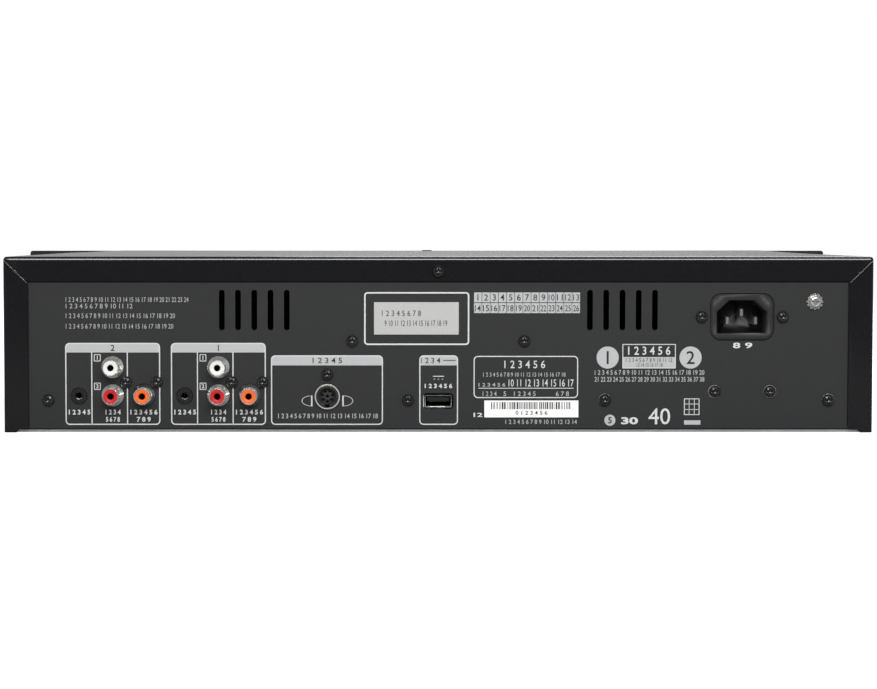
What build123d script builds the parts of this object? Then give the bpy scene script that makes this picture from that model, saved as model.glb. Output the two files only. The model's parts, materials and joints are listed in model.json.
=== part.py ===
from build123d import *
import math
import os

# Two-deck disc player for a 19 inch rack: a 2U front panel with rack ears, a folded steel
# case, two tray loaders side by side, and a rear panel full of sockets.
# Millimetres.  +Z up, the front looks along -Y, and seen from the front +X is to the right.
# The origin is under the middle of the whole object, on the surface that it stands on.

# ---------------------------------------------------------------- front panel and case
PANEL_W, PANEL_H, PANEL_T = 482.0, 88.0, 4.0
PANEL_CORNER_R = 1.5
PANEL_EDGE = 0.6
BODY_W, BODY_H = 430.0, 87.0
PANEL_FRONT_Y = -128.0
PANEL_BACK_Y = PANEL_FRONT_Y + PANEL_T
CASE_DEPTH = 245.0
FLANGE_Y = PANEL_BACK_Y + CASE_DEPTH
COVER_SHEET = 1.0
REAR_SHEET = 1.0
PAN_SHEET = 1.2
REAR_Y = FLANGE_Y - COVER_SHEET
REAR_IN_Y = REAR_Y - REAR_SHEET
FLANGE_W = 12.2
COVER_BEND_R, PAN_BEND_R = 1.8, 1.6
MITRE_GAP, MITRE_START = 0.3, 1.9
MITRE_REACH = FLANGE_W - MITRE_START
SHEET_GAP = 0.2

SLOT_SPACING_X, SLOT_SPACING_Z = 465.1, 76.2
RACK_SLOT_L, RACK_SLOT_W = 10.0, 6.8

PAN_SIDE_H, PAN_FRONT_H, PAN_TAB_H, PAN_TAB_W = 22.0, 14.0, 22.0, 16.0
PAN_LIP = 1.4
HOOK_W, HOOK_H, HOOK_D = 5.6, 0.4, 3.0

# ---------------------------------------------------------------- rear panel features
RCA_Z, RCA_RISE = 18.4, 14.0
FADER_Z, SOCKET_Z = 18.0, 17.8
FADER_INSET = 37.1
FADER_X = BODY_W / 2 - FADER_INSET
RCA_STEP, DIGITAL_STEP = 16.7, 32.1
BLOCK_PITCH = 52.4
SOCKET_STEP, SOCKET_SCREW_Z = 123.0, 28.7
SOCKET_X = FADER_X - SOCKET_STEP
USB_X, USB_Z = 0.0, 15.4
INLET_INSET, INLET_Z = 64.8, 57.2
INLET_X = INLET_INSET - BODY_W / 2
INLET_SCREW_SPACING = 40.0
VENT_X, VENT_Z, VENT_PITCH, VENT_W, VENT_L, VENT_COUNT = 91.0, 60.6, 8.03, 2.8, 20.0, 5
GROUND_INSET, GROUND_Z = 29.0, 64.8
GROUND_X = GROUND_INSET - BODY_W / 2
LOW_SCREW_Z, LOW_SCREW_INSET = 16.0, 22.0
LOW_SCREW_END = BODY_W / 2 - LOW_SCREW_INSET
LOW_SCREWS_X = (LOW_SCREW_END, 15.0, -82.5, -LOW_SCREW_END)
BRACE_SCREW_X, BRACE_SCREW_Z = 42.5, 45.3
SINK_INSET, SINK_SCREW_SPACING, SINK_SCREW_Z = 64.6, 27.2, 20.3
SINK_X = SINK_INSET - BODY_W / 2
JACK_SCREW_Z = 24.9
TOP_SCREW_Z = 79.8

# ---------------------------------------------------------------- screws
SCREW_HEAD_R, SCREW_HEAD_H = 2.95, 2.1
SCREW_R, SCREW_HOLE_R, SCREW_L = 1.42, 1.5, 7.0
CROSS_W, CROSS_L, CROSS_D = 0.8, 3.4, 1.2
WASHER_R, WASHER_T, WASHER_TEETH = 4.0, 0.8, 12
SIDE_SCREW_Y, SIDE_SCREW_Z = 78.0, 15.0

# ---------------------------------------------------------------- connectors
RCA_R, RCA_WALL, RCA_REACH = 4.15, 0.5, 9.5
RCA_FLANGE_R, RCA_FLANGE_T = 5.45, 0.8
RCA_COLLAR_R, RCA_COLLAR_T = 4.8, 1.7
RCA_PIN_R, RCA_PIN_DEPTH = 1.6, 12.0
RCA_HOLE_GAP = 0.3
RCA_BODY_D = 18.0
FADER_NOSE_R, FADER_BORE_R, FADER_BORE_L, FADER_PROUD = 3.9, 1.8, 14.0, 0.5
SOCKET_R, SOCKET_WALL, SOCKET_PROUD, SOCKET_RECESS = 6.3, 0.7, 1.6, 3.0
SOCKET_PIN_R, SOCKET_PIN_RING_R, SOCKET_PIN_COUNT = 0.55, 2.7, 7
USB_W, USB_H, USB_WALL, USB_D = 13.4, 6.0, 0.4, 16.0
USB_TONGUE_W, USB_TONGUE_T = 11.0, 1.8
USB_CUT_W, USB_CUT_H, USB_CUT_R = 15.0, 8.0, 2.0
INLET_W, INLET_H, INLET_CORNER_R, INLET_D = 31.0, 22.6, 5.2, 26.0
INLET_RECESS_W, INLET_RECESS_H, INLET_RECESS_D = 25.0, 16.6, 17.0
INLET_CHAMFER_W, INLET_CHAMFER_H = 6.2, 5.6
INLET_EAR_W, INLET_EAR_T = 50.0, 2.6
INLET_PIN_W, INLET_PIN_H, INLET_PIN_SPACING, INLET_PIN_RISE = 2.0, 4.0, 14.0, 4.0
INLET_PIN_L, INLET_PIN_TAIL = 15.0, 8.0
INLET_GAP = 0.4

# ---------------------------------------------------------------- boards
BOARD_T, BOARD_Z = 1.6, 9.0
BOARD_TOP = BOARD_Z + BOARD_T
BOARD_REACH = 67.0
MAIN_X0, MAIN_SIDE = -12.0, 15.0
MAIN_X1 = BODY_W / 2 - MAIN_SIDE
POWER_SIDE, POWER_BOARD_W = 10.0, 105.0
POWER_X0 = POWER_SIDE - BODY_W / 2
POWER_X1 = POWER_X0 + POWER_BOARD_W
MAIN_Y0 = POWER_Y0 = REAR_IN_Y - BOARD_REACH
STAND_Y0, STAND_GAP, STAND_FOOT = -106.0, 22.0, 12.0
STAND_WINDOWS, STAND_WINDOW_H, STAND_WEB, STAND_END = 3, 14.0, 14.0, 4.0
BOARD_BACK_GAP, BOARD_JACK_D = 1.5, 22.0
STANDOFF_R, STANDOFF_PIN_R, STANDOFF_HEAD_R, STANDOFF_HEAD_H = 2.5, 1.4, 2.8, 1.5
STANDOFF_HOLE_R = 1.6
STANDOFF_INSET = 5.0

# ---------------------------------------------------------------- decks
DECK_SIDE = 28.0
DISC_Y = -55.0
TRAY_W, TRAY_Z, TRAY_H, TRAY_BACK_Y = 130.0, 53.5, 5.5, 37.0
TRAY_TRAVEL = 135.0
DISC_WELL_R, DISC_WELL_D = 61.0, 2.5
SMALL_WELL_R, SMALL_WELL_D = 41.0, 3.7
TRAY_SLOT_W = 38.0
TRAY_SKIN = 1.6
TRAY_CORNER_R = 4.0
FINGER_R = 12.0
DOOR_LAP, DOOR_H, DOOR_T, DOOR_Z, DOOR_GAP, DOOR_PROUD = 4.7, 18.0, 4.3, 58.0, 0.6, 1.5
DOOR_W = TRAY_W + 2 * DOOR_LAP
DOOR_BACK_Y = PANEL_FRONT_Y - DOOR_PROUD + DOOR_T

MODULE = 0.8
DRIVE_TEETH, PINION_TEETH = 30, 18
PRESSURE = math.radians(20)
BACKLASH = 0.14
MESH_GAP = 0.1
RACK_INSET, RACK_BAR_W, RACK_Z, RACK_H = 5.0, 4.0, 49.4, 4.1
RACK_BACK_X = RACK_INSET - TRAY_W / 2
GEAR_Z, GEAR_T = 49.6, 3.4
GEAR_Y = -108.0
POST_R, POST_GAP = 1.5, 0.06
PULLEY_R, PULLEY_T, PULLEY_Z = 12.0, 4.0, 42.0
MOTOR_PULLEY_R, MOTOR_SHAFT_R = 3.2, 1.0
BELT_T, BELT_DEPTH, BELT_SLACK = 1.2, 0.9, 0.1
MOTOR_R, MOTOR_L, BELT_SPAN = 10.0, 24.0, 41.6

FRAME_SIDE, FRAME_WALL, FRAME_Z, FRAME_T = 7.0, 2.5, 38.0, 2.5
FRAME_W = TRAY_W + 2 * FRAME_SIDE
DECK_X = (BODY_W - FRAME_W) / 2 - DECK_SIDE
FRAME_Y0, FRAME_Y1, FRAME_TOP = -122.0, 44.0, 64.0
FRAME_OPENING_W, FRAME_OPENING_Y0, FRAME_OPENING_Y1 = 94.0, -88.0, 38.0
RIB_T, RIB_GAP = 2.4, 0.2
BRIDGE_T, BRIDGE_D, BRIDGE_Z = 1.0, 40.0, 68.0
CLAMP_HOLE_R, CLAMP_R, CLAMP_NECK_R, CLAMP_CAP_R, CLAMP_CAP_T = 11.0, 13.5, 9.0, 15.0, 2.0
CLAMP_GAP = 0.4

HINGE_Y, HINGE_Z, HINGE_R, HINGE_GAP = 30.0, 45.0, 2.0, 0.08
TRAVERSE_W, TRAVERSE_T, TRAVERSE_Z = 84.0, 2.0, 44.0
TRAVERSE_Y0, TRAVERSE_Y1 = -80.0, 32.0
EAR_X, EAR_T = 44.0, 3.0
SLED_OPEN_X0, SLED_OPEN_X1, SLED_OPEN_Y0, SLED_OPEN_Y1 = -29.0, 36.0, -42.0, 21.0
SPINDLE_R, SPINDLE_H, SPINDLE_SHAFT_R = 12.0, 6.6, 1.0
TURNTABLE_R, TURNTABLE_T, TURNTABLE_Z = 15.0, 2.0, 56.2
HUB_R, HUB_TOP_R, HUB_H = 7.4, 5.6, 2.2
ROD_X, ROD_Z, ROD_R = 24.0, 49.5, 1.5
SLED_W, SLED_D, SLED_Z, SLED_H, SLED_Y, SLED_TRAVEL = 56.0, 22.0, 43.0, 9.8, -30.0, 34.0
SCREW_AXIS_X, SCREW_AXIS_Z, LEAD_R = 31.0, 46.5, 1.5
SLED_MOTOR_R, SLED_MOTOR_Y0, SLED_MOTOR_Y1 = 6.0, -78.0, -64.0

# ---------------------------------------------------------------- front controls
CONTROL_Z = 27.0
OPEN_X, OPEN_W, OPEN_H, OPEN_PROUD, OPEN_TRAVEL = 45.0, 26.0, 8.0, 1.3, 0.8
POWER_INSET, POWER_R, POWER_PROUD, POWER_TRAVEL = 15.0, 5.6, 1.5, 1.8
POWER_X = POWER_INSET - BODY_W / 2
BUTTON_GAP, BUTTON_FLANGE, BUTTON_FLANGE_T = 0.3, 1.2, 1.0
FRONT_BOARD_Y, FRONT_BOARD_LOW_H, FRONT_BOARD_TOP = -118.0, 12.0, 36.0
TACT_W, TACT_D, TACT_TIP = 6.0, 2.1, 0.2
LED_R = 1.5
LED_OFFSET = 20.0

RCA_X = FADER_X - RCA_STEP
DIGITAL_X = FADER_X - DIGITAL_STEP
RCA_SCREW_X = FADER_X - 23.4
DIGITAL_SCREW_X = FADER_X - 38.6
JACK_POINTS = [
    (x - block * BLOCK_PITCH, z)
    for block in range(2)
    for x, z in ((RCA_X, RCA_Z + RCA_RISE), (RCA_X, RCA_Z), (DIGITAL_X, RCA_Z))
]
FADER_POINTS = [(FADER_X - block * BLOCK_PITCH, FADER_Z) for block in range(2)]
SINK_SCREWS = [
    (SINK_X + side * SINK_SCREW_SPACING / 2, SINK_SCREW_Z) for side in (-1, 1)
]
JACK_SCREWS = [
    (x - block * BLOCK_PITCH, JACK_SCREW_Z)
    for block in range(2)
    for x in (RCA_SCREW_X, DIGITAL_SCREW_X)
]
INLET_SCREWS = [
    (INLET_X + side * INLET_SCREW_SPACING / 2, INLET_Z) for side in (-1, 1)
]
BRACE_SCREWS = [(side * BRACE_SCREW_X, BRACE_SCREW_Z) for side in (-1, 1)]
LOW_SCREWS = [(x, LOW_SCREW_Z) for x in LOW_SCREWS_X]
REAR_SCREWS = (
    LOW_SCREWS
    + BRACE_SCREWS
    + SINK_SCREWS
    + JACK_SCREWS
    + INLET_SCREWS
    + [(SOCKET_X, SOCKET_SCREW_Z)]
)

os.makedirs("parts", exist_ok=True)


def save(shape, name):
    """Label one finished piece and write it to its own file."""
    shape.label = name
    export_step(shape, f"parts/{name}.step")


def facing_rear(y):
    """A sketch plane at depth y whose own x, y are the object's -x, z and which looks to +Y."""
    return Plane(origin=(0, y, 0), x_dir=(-1, 0, 0), z_dir=(0, 1, 0))


def facing_front(y):
    """A sketch plane at depth y whose own x, y are the object's x, z and which looks to -Y."""
    return Plane(origin=(0, y, 0), x_dir=(1, 0, 0), z_dir=(0, -1, 0))


def mirrored(points):
    """Object (x, z) points as the sketch points of a facing_rear plane."""
    return [(-x, z) for x, z in points]


# ================================================================ case
def make_chassis_pan():
    """The folded steel pan: a floor, two side walls, a low front wall and tabs at the rear."""
    width = BODY_W - 2 * COVER_SHEET - 2 * SHEET_GAP
    depth = REAR_IN_Y - PANEL_BACK_Y
    mid_y = (REAR_IN_Y + PANEL_BACK_Y) / 2
    with BuildPart() as pan:
        with BuildSketch(Plane.XY):
            with Locations((0, mid_y)):
                Rectangle(width, depth)
        extrude(amount=PAN_SIDE_H)
        fillet(pan.edges().group_by(Axis.Z)[0], PAN_BEND_R)
        with BuildSketch(Plane.XY.offset(PAN_SHEET)):
            with Locations((0, mid_y)):
                Rectangle(width - 2 * PAN_SHEET, depth - 2 * PAN_SHEET)
        extrude(amount=PAN_SIDE_H, mode=Mode.SUBTRACT)
        with BuildSketch(facing_front(PANEL_BACK_Y + 2 * PAN_SHEET)):
            with Locations((0, PAN_FRONT_H + PAN_SIDE_H / 2)):
                Rectangle(width - 2 * PAN_BEND_R, PAN_SIDE_H)
        extrude(amount=3 * PAN_SHEET, mode=Mode.SUBTRACT)
        with BuildSketch(facing_rear(REAR_IN_Y - 2 * PAN_SHEET)):
            with Locations((0, PAN_SIDE_H / 2 + 2 * PAN_SHEET)):
                Rectangle(width + 2 * PAN_SHEET, PAN_SIDE_H)
            with Locations(mirrored([(x, PAN_TAB_H / 2) for x in LOW_SCREWS_X])):
                Rectangle(PAN_TAB_W, PAN_TAB_H, mode=Mode.SUBTRACT)
        extrude(amount=3 * PAN_SHEET, mode=Mode.SUBTRACT)
        with BuildSketch(facing_rear(REAR_IN_Y - 2 * PAN_SHEET)):
            with Locations(mirrored(LOW_SCREWS)):
                Circle(SCREW_HOLE_R)
        extrude(amount=3 * PAN_SHEET, mode=Mode.SUBTRACT)
        with BuildSketch(Plane.YZ.offset(-BODY_W)):
            with Locations((-SIDE_SCREW_Y, SIDE_SCREW_Z), (SIDE_SCREW_Y, SIDE_SCREW_Z)):
                Circle(SCREW_HOLE_R)
        extrude(amount=2 * BODY_W, mode=Mode.SUBTRACT)
    return pan.part


def make_top_cover():
    """The folded steel wrap: top, two sides and rear flanges that meet at 45 degrees."""
    half = BODY_W / 2
    inner = half - FLANGE_W
    foot = half - FLANGE_W / 2
    with BuildPart() as cover:
        with BuildSketch(facing_rear(PANEL_BACK_Y)):
            with Locations((0, BODY_H / 2)):
                Rectangle(BODY_W, BODY_H)
        extrude(amount=CASE_DEPTH)
        long_bends = cover.edges().filter_by(Axis.Y).group_by(Axis.Z)[-1]
        rear_outline = cover.faces().sort_by(Axis.Y)[-1].edges()
        fillet(long_bends + rear_outline.sort_by(Axis.Z)[1:], COVER_BEND_R)
        with BuildSketch(facing_rear(PANEL_BACK_Y)):
            with Locations((0, (BODY_H - COVER_SHEET) / 2)):
                Rectangle(BODY_W - 2 * COVER_SHEET, BODY_H - COVER_SHEET)
        extrude(amount=CASE_DEPTH - COVER_SHEET, mode=Mode.SUBTRACT)
        # What the rear flanges leave open, then the slits where they meet at 45 degrees.
        with BuildSketch(facing_rear(FLANGE_Y)):
            with BuildLine():
                Polyline(
                    (-inner, BODY_H - FLANGE_W),
                    (inner, BODY_H - FLANGE_W),
                    (inner, PAN_LIP),
                    (foot - PAN_LIP, PAN_LIP),
                    (foot, 0),
                    (-foot, 0),
                    (-foot + PAN_LIP, PAN_LIP),
                    (-inner, PAN_LIP),
                    close=True,
                )
            make_face()
            for side in (-1, 1):
                slit_x = side * (half - MITRE_REACH / 2 - MITRE_START)
                slit_z = BODY_H - MITRE_REACH / 2 - MITRE_START
                with Locations(Location((slit_x, slit_z, 0), (0, 0, side * 45))):
                    Rectangle(MITRE_REACH * math.sqrt(2) + MITRE_GAP, MITRE_GAP)
            with Locations((0, TOP_SCREW_Z)):
                Circle(SCREW_HOLE_R)
        extrude(amount=-COVER_SHEET, mode=Mode.SUBTRACT)
        with BuildSketch(Plane.YZ.offset(-BODY_W)):
            with Locations((-SIDE_SCREW_Y, SIDE_SCREW_Z), (SIDE_SCREW_Y, SIDE_SCREW_Z)):
                Circle(SCREW_HOLE_R)
        extrude(amount=2 * BODY_W, mode=Mode.SUBTRACT)
    return cover.part


def make_rear_panel():
    """The flat rear panel with a cut-out for each socket, screw and vent slot."""
    width = BODY_W - 2 * COVER_SHEET - 2 * SHEET_GAP
    top = BODY_H - COVER_SHEET - SHEET_GAP
    with BuildPart() as panel:
        with BuildSketch(facing_rear(REAR_IN_Y)):
            with Locations((0, (top + PAN_LIP) / 2)):
                Rectangle(width, top - PAN_LIP)
            for side in (-1, 1):
                first = side * VENT_X - VENT_PITCH * (VENT_COUNT - 1) / 2
                slots = [(first + n * VENT_PITCH, VENT_Z) for n in range(VENT_COUNT)]
                with Locations(slots):
                    SlotOverall(VENT_L, VENT_W, rotation=90, mode=Mode.SUBTRACT)
            with Locations(mirrored(JACK_POINTS)):
                Circle(RCA_FLANGE_R + RCA_HOLE_GAP, mode=Mode.SUBTRACT)
            with Locations(mirrored(FADER_POINTS)):
                Circle(FADER_NOSE_R + RCA_HOLE_GAP, mode=Mode.SUBTRACT)
            with Locations((-SOCKET_X, SOCKET_Z)):
                Circle(SOCKET_R + RCA_HOLE_GAP, mode=Mode.SUBTRACT)
            with Locations((-USB_X, USB_Z)):
                RectangleRounded(USB_CUT_W, USB_CUT_H, USB_CUT_R, mode=Mode.SUBTRACT)
            with Locations((-INLET_X, INLET_Z)):
                RectangleRounded(
                    INLET_W + 2 * INLET_GAP,
                    INLET_H + 2 * INLET_GAP,
                    INLET_CORNER_R + INLET_GAP,
                    mode=Mode.SUBTRACT,
                )
            holes = REAR_SCREWS + [(GROUND_X, GROUND_Z), (0, TOP_SCREW_Z)]
            with Locations(mirrored(holes)):
                Circle(SCREW_HOLE_R, mode=Mode.SUBTRACT)
        extrude(amount=REAR_SHEET)
    return panel.part


def make_front_panel():
    """The 2U panel with rack ears, tray openings, button holes and the hook over the cover."""
    with BuildPart() as panel:
        with BuildSketch(facing_front(PANEL_BACK_Y)):
            with Locations((0, PANEL_H / 2)):
                RectangleRounded(PANEL_W, PANEL_H, PANEL_CORNER_R)
            with Locations((0, PANEL_H / 2)):
                with GridLocations(SLOT_SPACING_X, SLOT_SPACING_Z, 2, 2):
                    SlotOverall(RACK_SLOT_L, RACK_SLOT_W, mode=Mode.SUBTRACT)
            with Locations((-DECK_X, DOOR_Z), (DECK_X, DOOR_Z)):
                RectangleRounded(
                    DOOR_W + 2 * DOOR_GAP, DOOR_H + 2 * DOOR_GAP, 1.0, mode=Mode.SUBTRACT
                )
            with Locations((-DECK_X + OPEN_X, CONTROL_Z), (DECK_X + OPEN_X, CONTROL_Z)):
                RectangleRounded(
                    OPEN_W + 2 * BUTTON_GAP, OPEN_H + 2 * BUTTON_GAP, 2.0, mode=Mode.SUBTRACT
                )
            with Locations((POWER_X, CONTROL_Z)):
                Circle(POWER_R + BUTTON_GAP, mode=Mode.SUBTRACT)
            with Locations((USB_X, CONTROL_Z)):
                RectangleRounded(USB_W + 0.6, USB_H + 0.6, 1.0, mode=Mode.SUBTRACT)
            with Locations(
                (-DECK_X + OPEN_X - LED_OFFSET, CONTROL_Z),
                (DECK_X + OPEN_X - LED_OFFSET, CONTROL_Z),
            ):
                Circle(LED_R + 0.1, mode=Mode.SUBTRACT)
        extrude(amount=PANEL_T)
        chamfer(panel.faces().sort_by(Axis.Y)[0].outer_wire().edges(), PANEL_EDGE)
        with BuildSketch(facing_rear(PANEL_BACK_Y)):
            with Locations((0, BODY_H + (PANEL_H + HOOK_H - BODY_H) / 2)):
                Rectangle(HOOK_W, PANEL_H + HOOK_H - BODY_H)
        extrude(amount=HOOK_D)
    return panel.part


# ================================================================ screws
def screw(head_at, direction, washer=False):
    """One pan head cross-slot screw, its head's underside at head_at, looking along direction."""
    axis = Vector(*direction)
    x_dir = (0, 0, 1) if abs(axis.Z) < 0.5 else (1, 0, 0)
    seat = Plane(origin=head_at, x_dir=x_dir, z_dir=tuple(axis))
    lift = WASHER_T if washer else 0.0
    with BuildPart(seat) as body:
        with BuildSketch(seat.offset(lift)):
            Circle(SCREW_HEAD_R)
        extrude(amount=SCREW_HEAD_H)
        crown = body.edges().filter_by(GeomType.CIRCLE).filter_by(
            lambda e: (e.center() - Vector(*head_at)).dot(axis) > lift + SCREW_HEAD_H / 2
        )
        fillet(crown, SCREW_HEAD_H * 0.7)
        with BuildSketch(seat.offset(lift + SCREW_HEAD_H)):
            Rectangle(CROSS_L, CROSS_W)
            Rectangle(CROSS_W, CROSS_L)
        extrude(amount=-CROSS_D, mode=Mode.SUBTRACT)
        with BuildSketch(seat.offset(lift)):
            Circle(SCREW_R)
        extrude(amount=-SCREW_L - lift)
        if washer:
            with BuildSketch(seat):
                Circle(WASHER_R - 0.5)
                with PolarLocations(WASHER_R - 0.5, WASHER_TEETH):
                    Rectangle(1.0, 1.1, rotation=25)
                Circle(SCREW_R, mode=Mode.SUBTRACT)
            extrude(amount=WASHER_T)
    return body.part.solid()


def make_case_screws():
    """Every black case screw: the rear panel's, the cover's rear one and its side ones."""
    screws = [screw((x, REAR_Y, z), (0, 1, 0)) for x, z in REAR_SCREWS]
    screws.append(screw((0, FLANGE_Y, TOP_SCREW_Z), (0, 1, 0)))
    for side in (-1, 1):
        for y in (-SIDE_SCREW_Y, SIDE_SCREW_Y):
            screws.append(screw((side * BODY_W / 2, y, SIDE_SCREW_Z), (side, 0, 0)))
    return Compound(children=screws)


# ================================================================ rear sockets
def make_rca_shells():
    """The plated outer contacts of the six phono sockets, each with its stepped seat."""
    steps = (
        (RCA_FLANGE_R, RCA_FLANGE_T),
        (RCA_COLLAR_R, RCA_COLLAR_T),
        (RCA_R, RCA_REACH),
    )
    with BuildPart() as shells:
        for radius, reach in steps:
            with BuildSketch(facing_rear(REAR_IN_Y)):
                with Locations(mirrored(JACK_POINTS)):
                    Circle(radius)
                    Circle(RCA_R - RCA_WALL, mode=Mode.SUBTRACT)
            extrude(amount=REAR_SHEET + reach)
        tips = (
            shells.edges()
            .filter_by(GeomType.CIRCLE)
            .filter_by(lambda e: abs(e.radius - RCA_R) < 0.01)
            .group_by(Axis.Y)[-1]
        )
        chamfer(tips, 0.3)
    return shells.part


def make_rca_inserts(points):
    """The coloured insulators inside the phono shells, each with its centre contact's bore."""
    length = REAR_SHEET + RCA_REACH - 0.4
    with BuildPart() as inserts:
        with BuildSketch(facing_rear(REAR_IN_Y)):
            with Locations(mirrored(points)):
                Circle(RCA_R - RCA_WALL)
        extrude(amount=length)
        with BuildSketch(facing_rear(REAR_IN_Y + length)):
            with Locations(mirrored(points)):
                Circle(RCA_PIN_R)
        extrude(amount=-min(RCA_PIN_DEPTH, length - 1.0), mode=Mode.SUBTRACT)
    return inserts.part


def make_rca_bodies():
    """The black moulded backs of the phono sockets, standing on the main board."""
    with BuildPart() as bodies:
        for block in range(2):
            shift = block * BLOCK_PITCH
            spans = (
                (RCA_X - 9.6, RCA_X + 7.2, RCA_Z + RCA_RISE + 7.0),
                (DIGITAL_X - 9.6, DIGITAL_X + 5.2, RCA_Z + 9.0),
            )
            for x0, x1, top in spans:
                with BuildSketch(facing_rear(REAR_IN_Y)):
                    with Locations((shift - (x0 + x1) / 2, (top + BOARD_TOP) / 2)):
                        Rectangle(x1 - x0, top - BOARD_TOP)
                    with Locations(mirrored(JACK_SCREWS)):
                        Circle(SCREW_HOLE_R, mode=Mode.SUBTRACT)
                extrude(amount=-RCA_BODY_D)
    return bodies.part


def make_fader_jacks():
    """The two small black jack sockets, each a body on the board and a nose in the panel."""
    with BuildPart() as jacks:
        with BuildSketch(facing_rear(REAR_IN_Y)):
            for x, z in FADER_POINTS:
                with Locations((-x, (BOARD_TOP + z + 5.0) / 2)):
                    Rectangle(11.0, z + 5.0 - BOARD_TOP)
        extrude(amount=-FADER_BORE_L)
        with BuildSketch(facing_rear(REAR_IN_Y)):
            with Locations(mirrored(FADER_POINTS)):
                Circle(FADER_NOSE_R)
        extrude(amount=REAR_SHEET + FADER_PROUD)
        with BuildSketch(facing_rear(REAR_Y + FADER_PROUD)):
            with Locations(mirrored(FADER_POINTS)):
                Circle(FADER_BORE_R)
        extrude(amount=-FADER_BORE_L, mode=Mode.SUBTRACT)
    return jacks.part


def make_remote_socket():
    """The round eight way socket: a plated shell round a black keyed insert."""
    insert_r = SOCKET_R - SOCKET_WALL
    with BuildPart() as shell:
        with BuildSketch(facing_rear(REAR_IN_Y)):
            with Locations((-SOCKET_X, SOCKET_Z)):
                Circle(SOCKET_R)
                Circle(insert_r, mode=Mode.SUBTRACT)
        extrude(amount=REAR_SHEET + SOCKET_PROUD)
    with BuildPart() as insert:
        top = SOCKET_SCREW_Z + 4.0
        with BuildSketch(facing_rear(REAR_IN_Y)):
            with Locations((-SOCKET_X, (BOARD_TOP + top) / 2)):
                Rectangle(15.0, top - BOARD_TOP)
            with Locations((-SOCKET_X, SOCKET_SCREW_Z)):
                Circle(SCREW_HOLE_R, mode=Mode.SUBTRACT)
        extrude(amount=-RCA_BODY_D + 3.0)
        with BuildSketch(facing_rear(REAR_IN_Y)):
            with Locations((-SOCKET_X, SOCKET_Z)):
                Circle(insert_r)
                Circle(insert_r - 1.4, mode=Mode.SUBTRACT)
        extrude(amount=REAR_SHEET + SOCKET_PROUD)
        with BuildSketch(facing_rear(REAR_IN_Y)):
            with Locations((-SOCKET_X, SOCKET_Z)):
                Circle(insert_r - 1.4)
        extrude(amount=REAR_SHEET + SOCKET_PROUD - SOCKET_RECESS / 2)
        with BuildSketch(facing_rear(REAR_Y + SOCKET_PROUD)):
            with Locations((-SOCKET_X, SOCKET_Z)):
                with PolarLocations(SOCKET_PIN_RING_R, SOCKET_PIN_COUNT, start_angle=12):
                    Circle(SOCKET_PIN_R)
                Circle(SOCKET_PIN_R)
            with Locations((-SOCKET_X, SOCKET_Z - insert_r + 0.9)):
                Rectangle(2.2, 1.6)
        extrude(amount=-SOCKET_RECESS - 2.0, mode=Mode.SUBTRACT)
    return Compound(children=[shell.part.solid(), insert.part.solid()])


def usb_port(face_y, looks, z, foot_z):
    """One USB A port as a metal shell and a tongue, its mouth at face_y, with feet to foot_z."""
    mouth = facing_rear(face_y) if looks > 0 else facing_front(face_y)
    across = -USB_X if looks > 0 else USB_X
    with BuildPart() as shell:
        with BuildSketch(mouth):
            with Locations((across, z)):
                RectangleRounded(USB_W, USB_H, 0.6)
        extrude(amount=-USB_D)
        if foot_z < z - USB_H / 2:
            with BuildSketch(mouth.offset(-3.0)):
                with Locations((across, (foot_z + z) / 2)):
                    Rectangle(USB_W, z - foot_z)
            extrude(amount=-USB_D + 3.0)
        with BuildSketch(mouth):
            with Locations((across, z)):
                Rectangle(USB_W - 2 * USB_WALL, USB_H - 2 * USB_WALL)
        extrude(amount=-USB_D + 1.0, mode=Mode.SUBTRACT)
    with BuildPart() as tongue:
        with BuildSketch(mouth.offset(-1.0)):
            with Locations((across, z + 0.9)):
                Rectangle(USB_TONGUE_W, USB_TONGUE_T)
        extrude(amount=-USB_D + 2.0)
    return [shell.part.solid(), tongue.part.solid()]


def make_ac_inlet():
    """The three pin mains inlet: a black moulded shroud with ears behind the panel."""
    with BuildPart() as inlet:
        with BuildSketch(facing_rear(REAR_Y)):
            with Locations((-INLET_X, INLET_Z)):
                RectangleRounded(INLET_W, INLET_H, INLET_CORNER_R)
        extrude(amount=-INLET_D)
        with BuildSketch(facing_rear(REAR_IN_Y)):
            with Locations((-INLET_X, INLET_Z)):
                RectangleRounded(INLET_EAR_W, INLET_H, INLET_CORNER_R)
            with Locations(mirrored(INLET_SCREWS)):
                Circle(SCREW_HOLE_R, mode=Mode.SUBTRACT)
        extrude(amount=-INLET_EAR_T)
        with BuildSketch(facing_rear(REAR_Y)):
            with BuildLine():
                Polyline(*inlet_recess_outline(), close=True)
            make_face()
        extrude(amount=-INLET_RECESS_D, mode=Mode.SUBTRACT)
        with BuildSketch(facing_rear(REAR_Y)):
            with Locations(inlet_pin_points()):
                Rectangle(INLET_PIN_W, INLET_PIN_H)
        extrude(amount=-INLET_D, mode=Mode.SUBTRACT)
    return inlet.part


def inlet_recess_outline():
    """Sketch points of the plug recess on a facing_rear plane, its upper corners cut off."""
    half_w, half_h = INLET_RECESS_W / 2, INLET_RECESS_H / 2
    shoulder_x, shoulder_z = half_w - INLET_CHAMFER_W, half_h - INLET_CHAMFER_H
    around = [
        (-half_w, -half_h),
        (half_w, -half_h),
        (half_w, shoulder_z),
        (shoulder_x, half_h),
        (-shoulder_x, half_h),
        (-half_w, shoulder_z),
    ]
    return [(x - INLET_X, z + INLET_Z) for x, z in around]


def inlet_pin_points():
    """Sketch points of the three mains pins on a facing_rear plane, earth at the top."""
    half = INLET_PIN_SPACING / 2
    low = INLET_Z - INLET_PIN_RISE / 2
    return [
        (-INLET_X - half, low),
        (-INLET_X, low + INLET_PIN_RISE),
        (-INLET_X + half, low),
    ]


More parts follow.
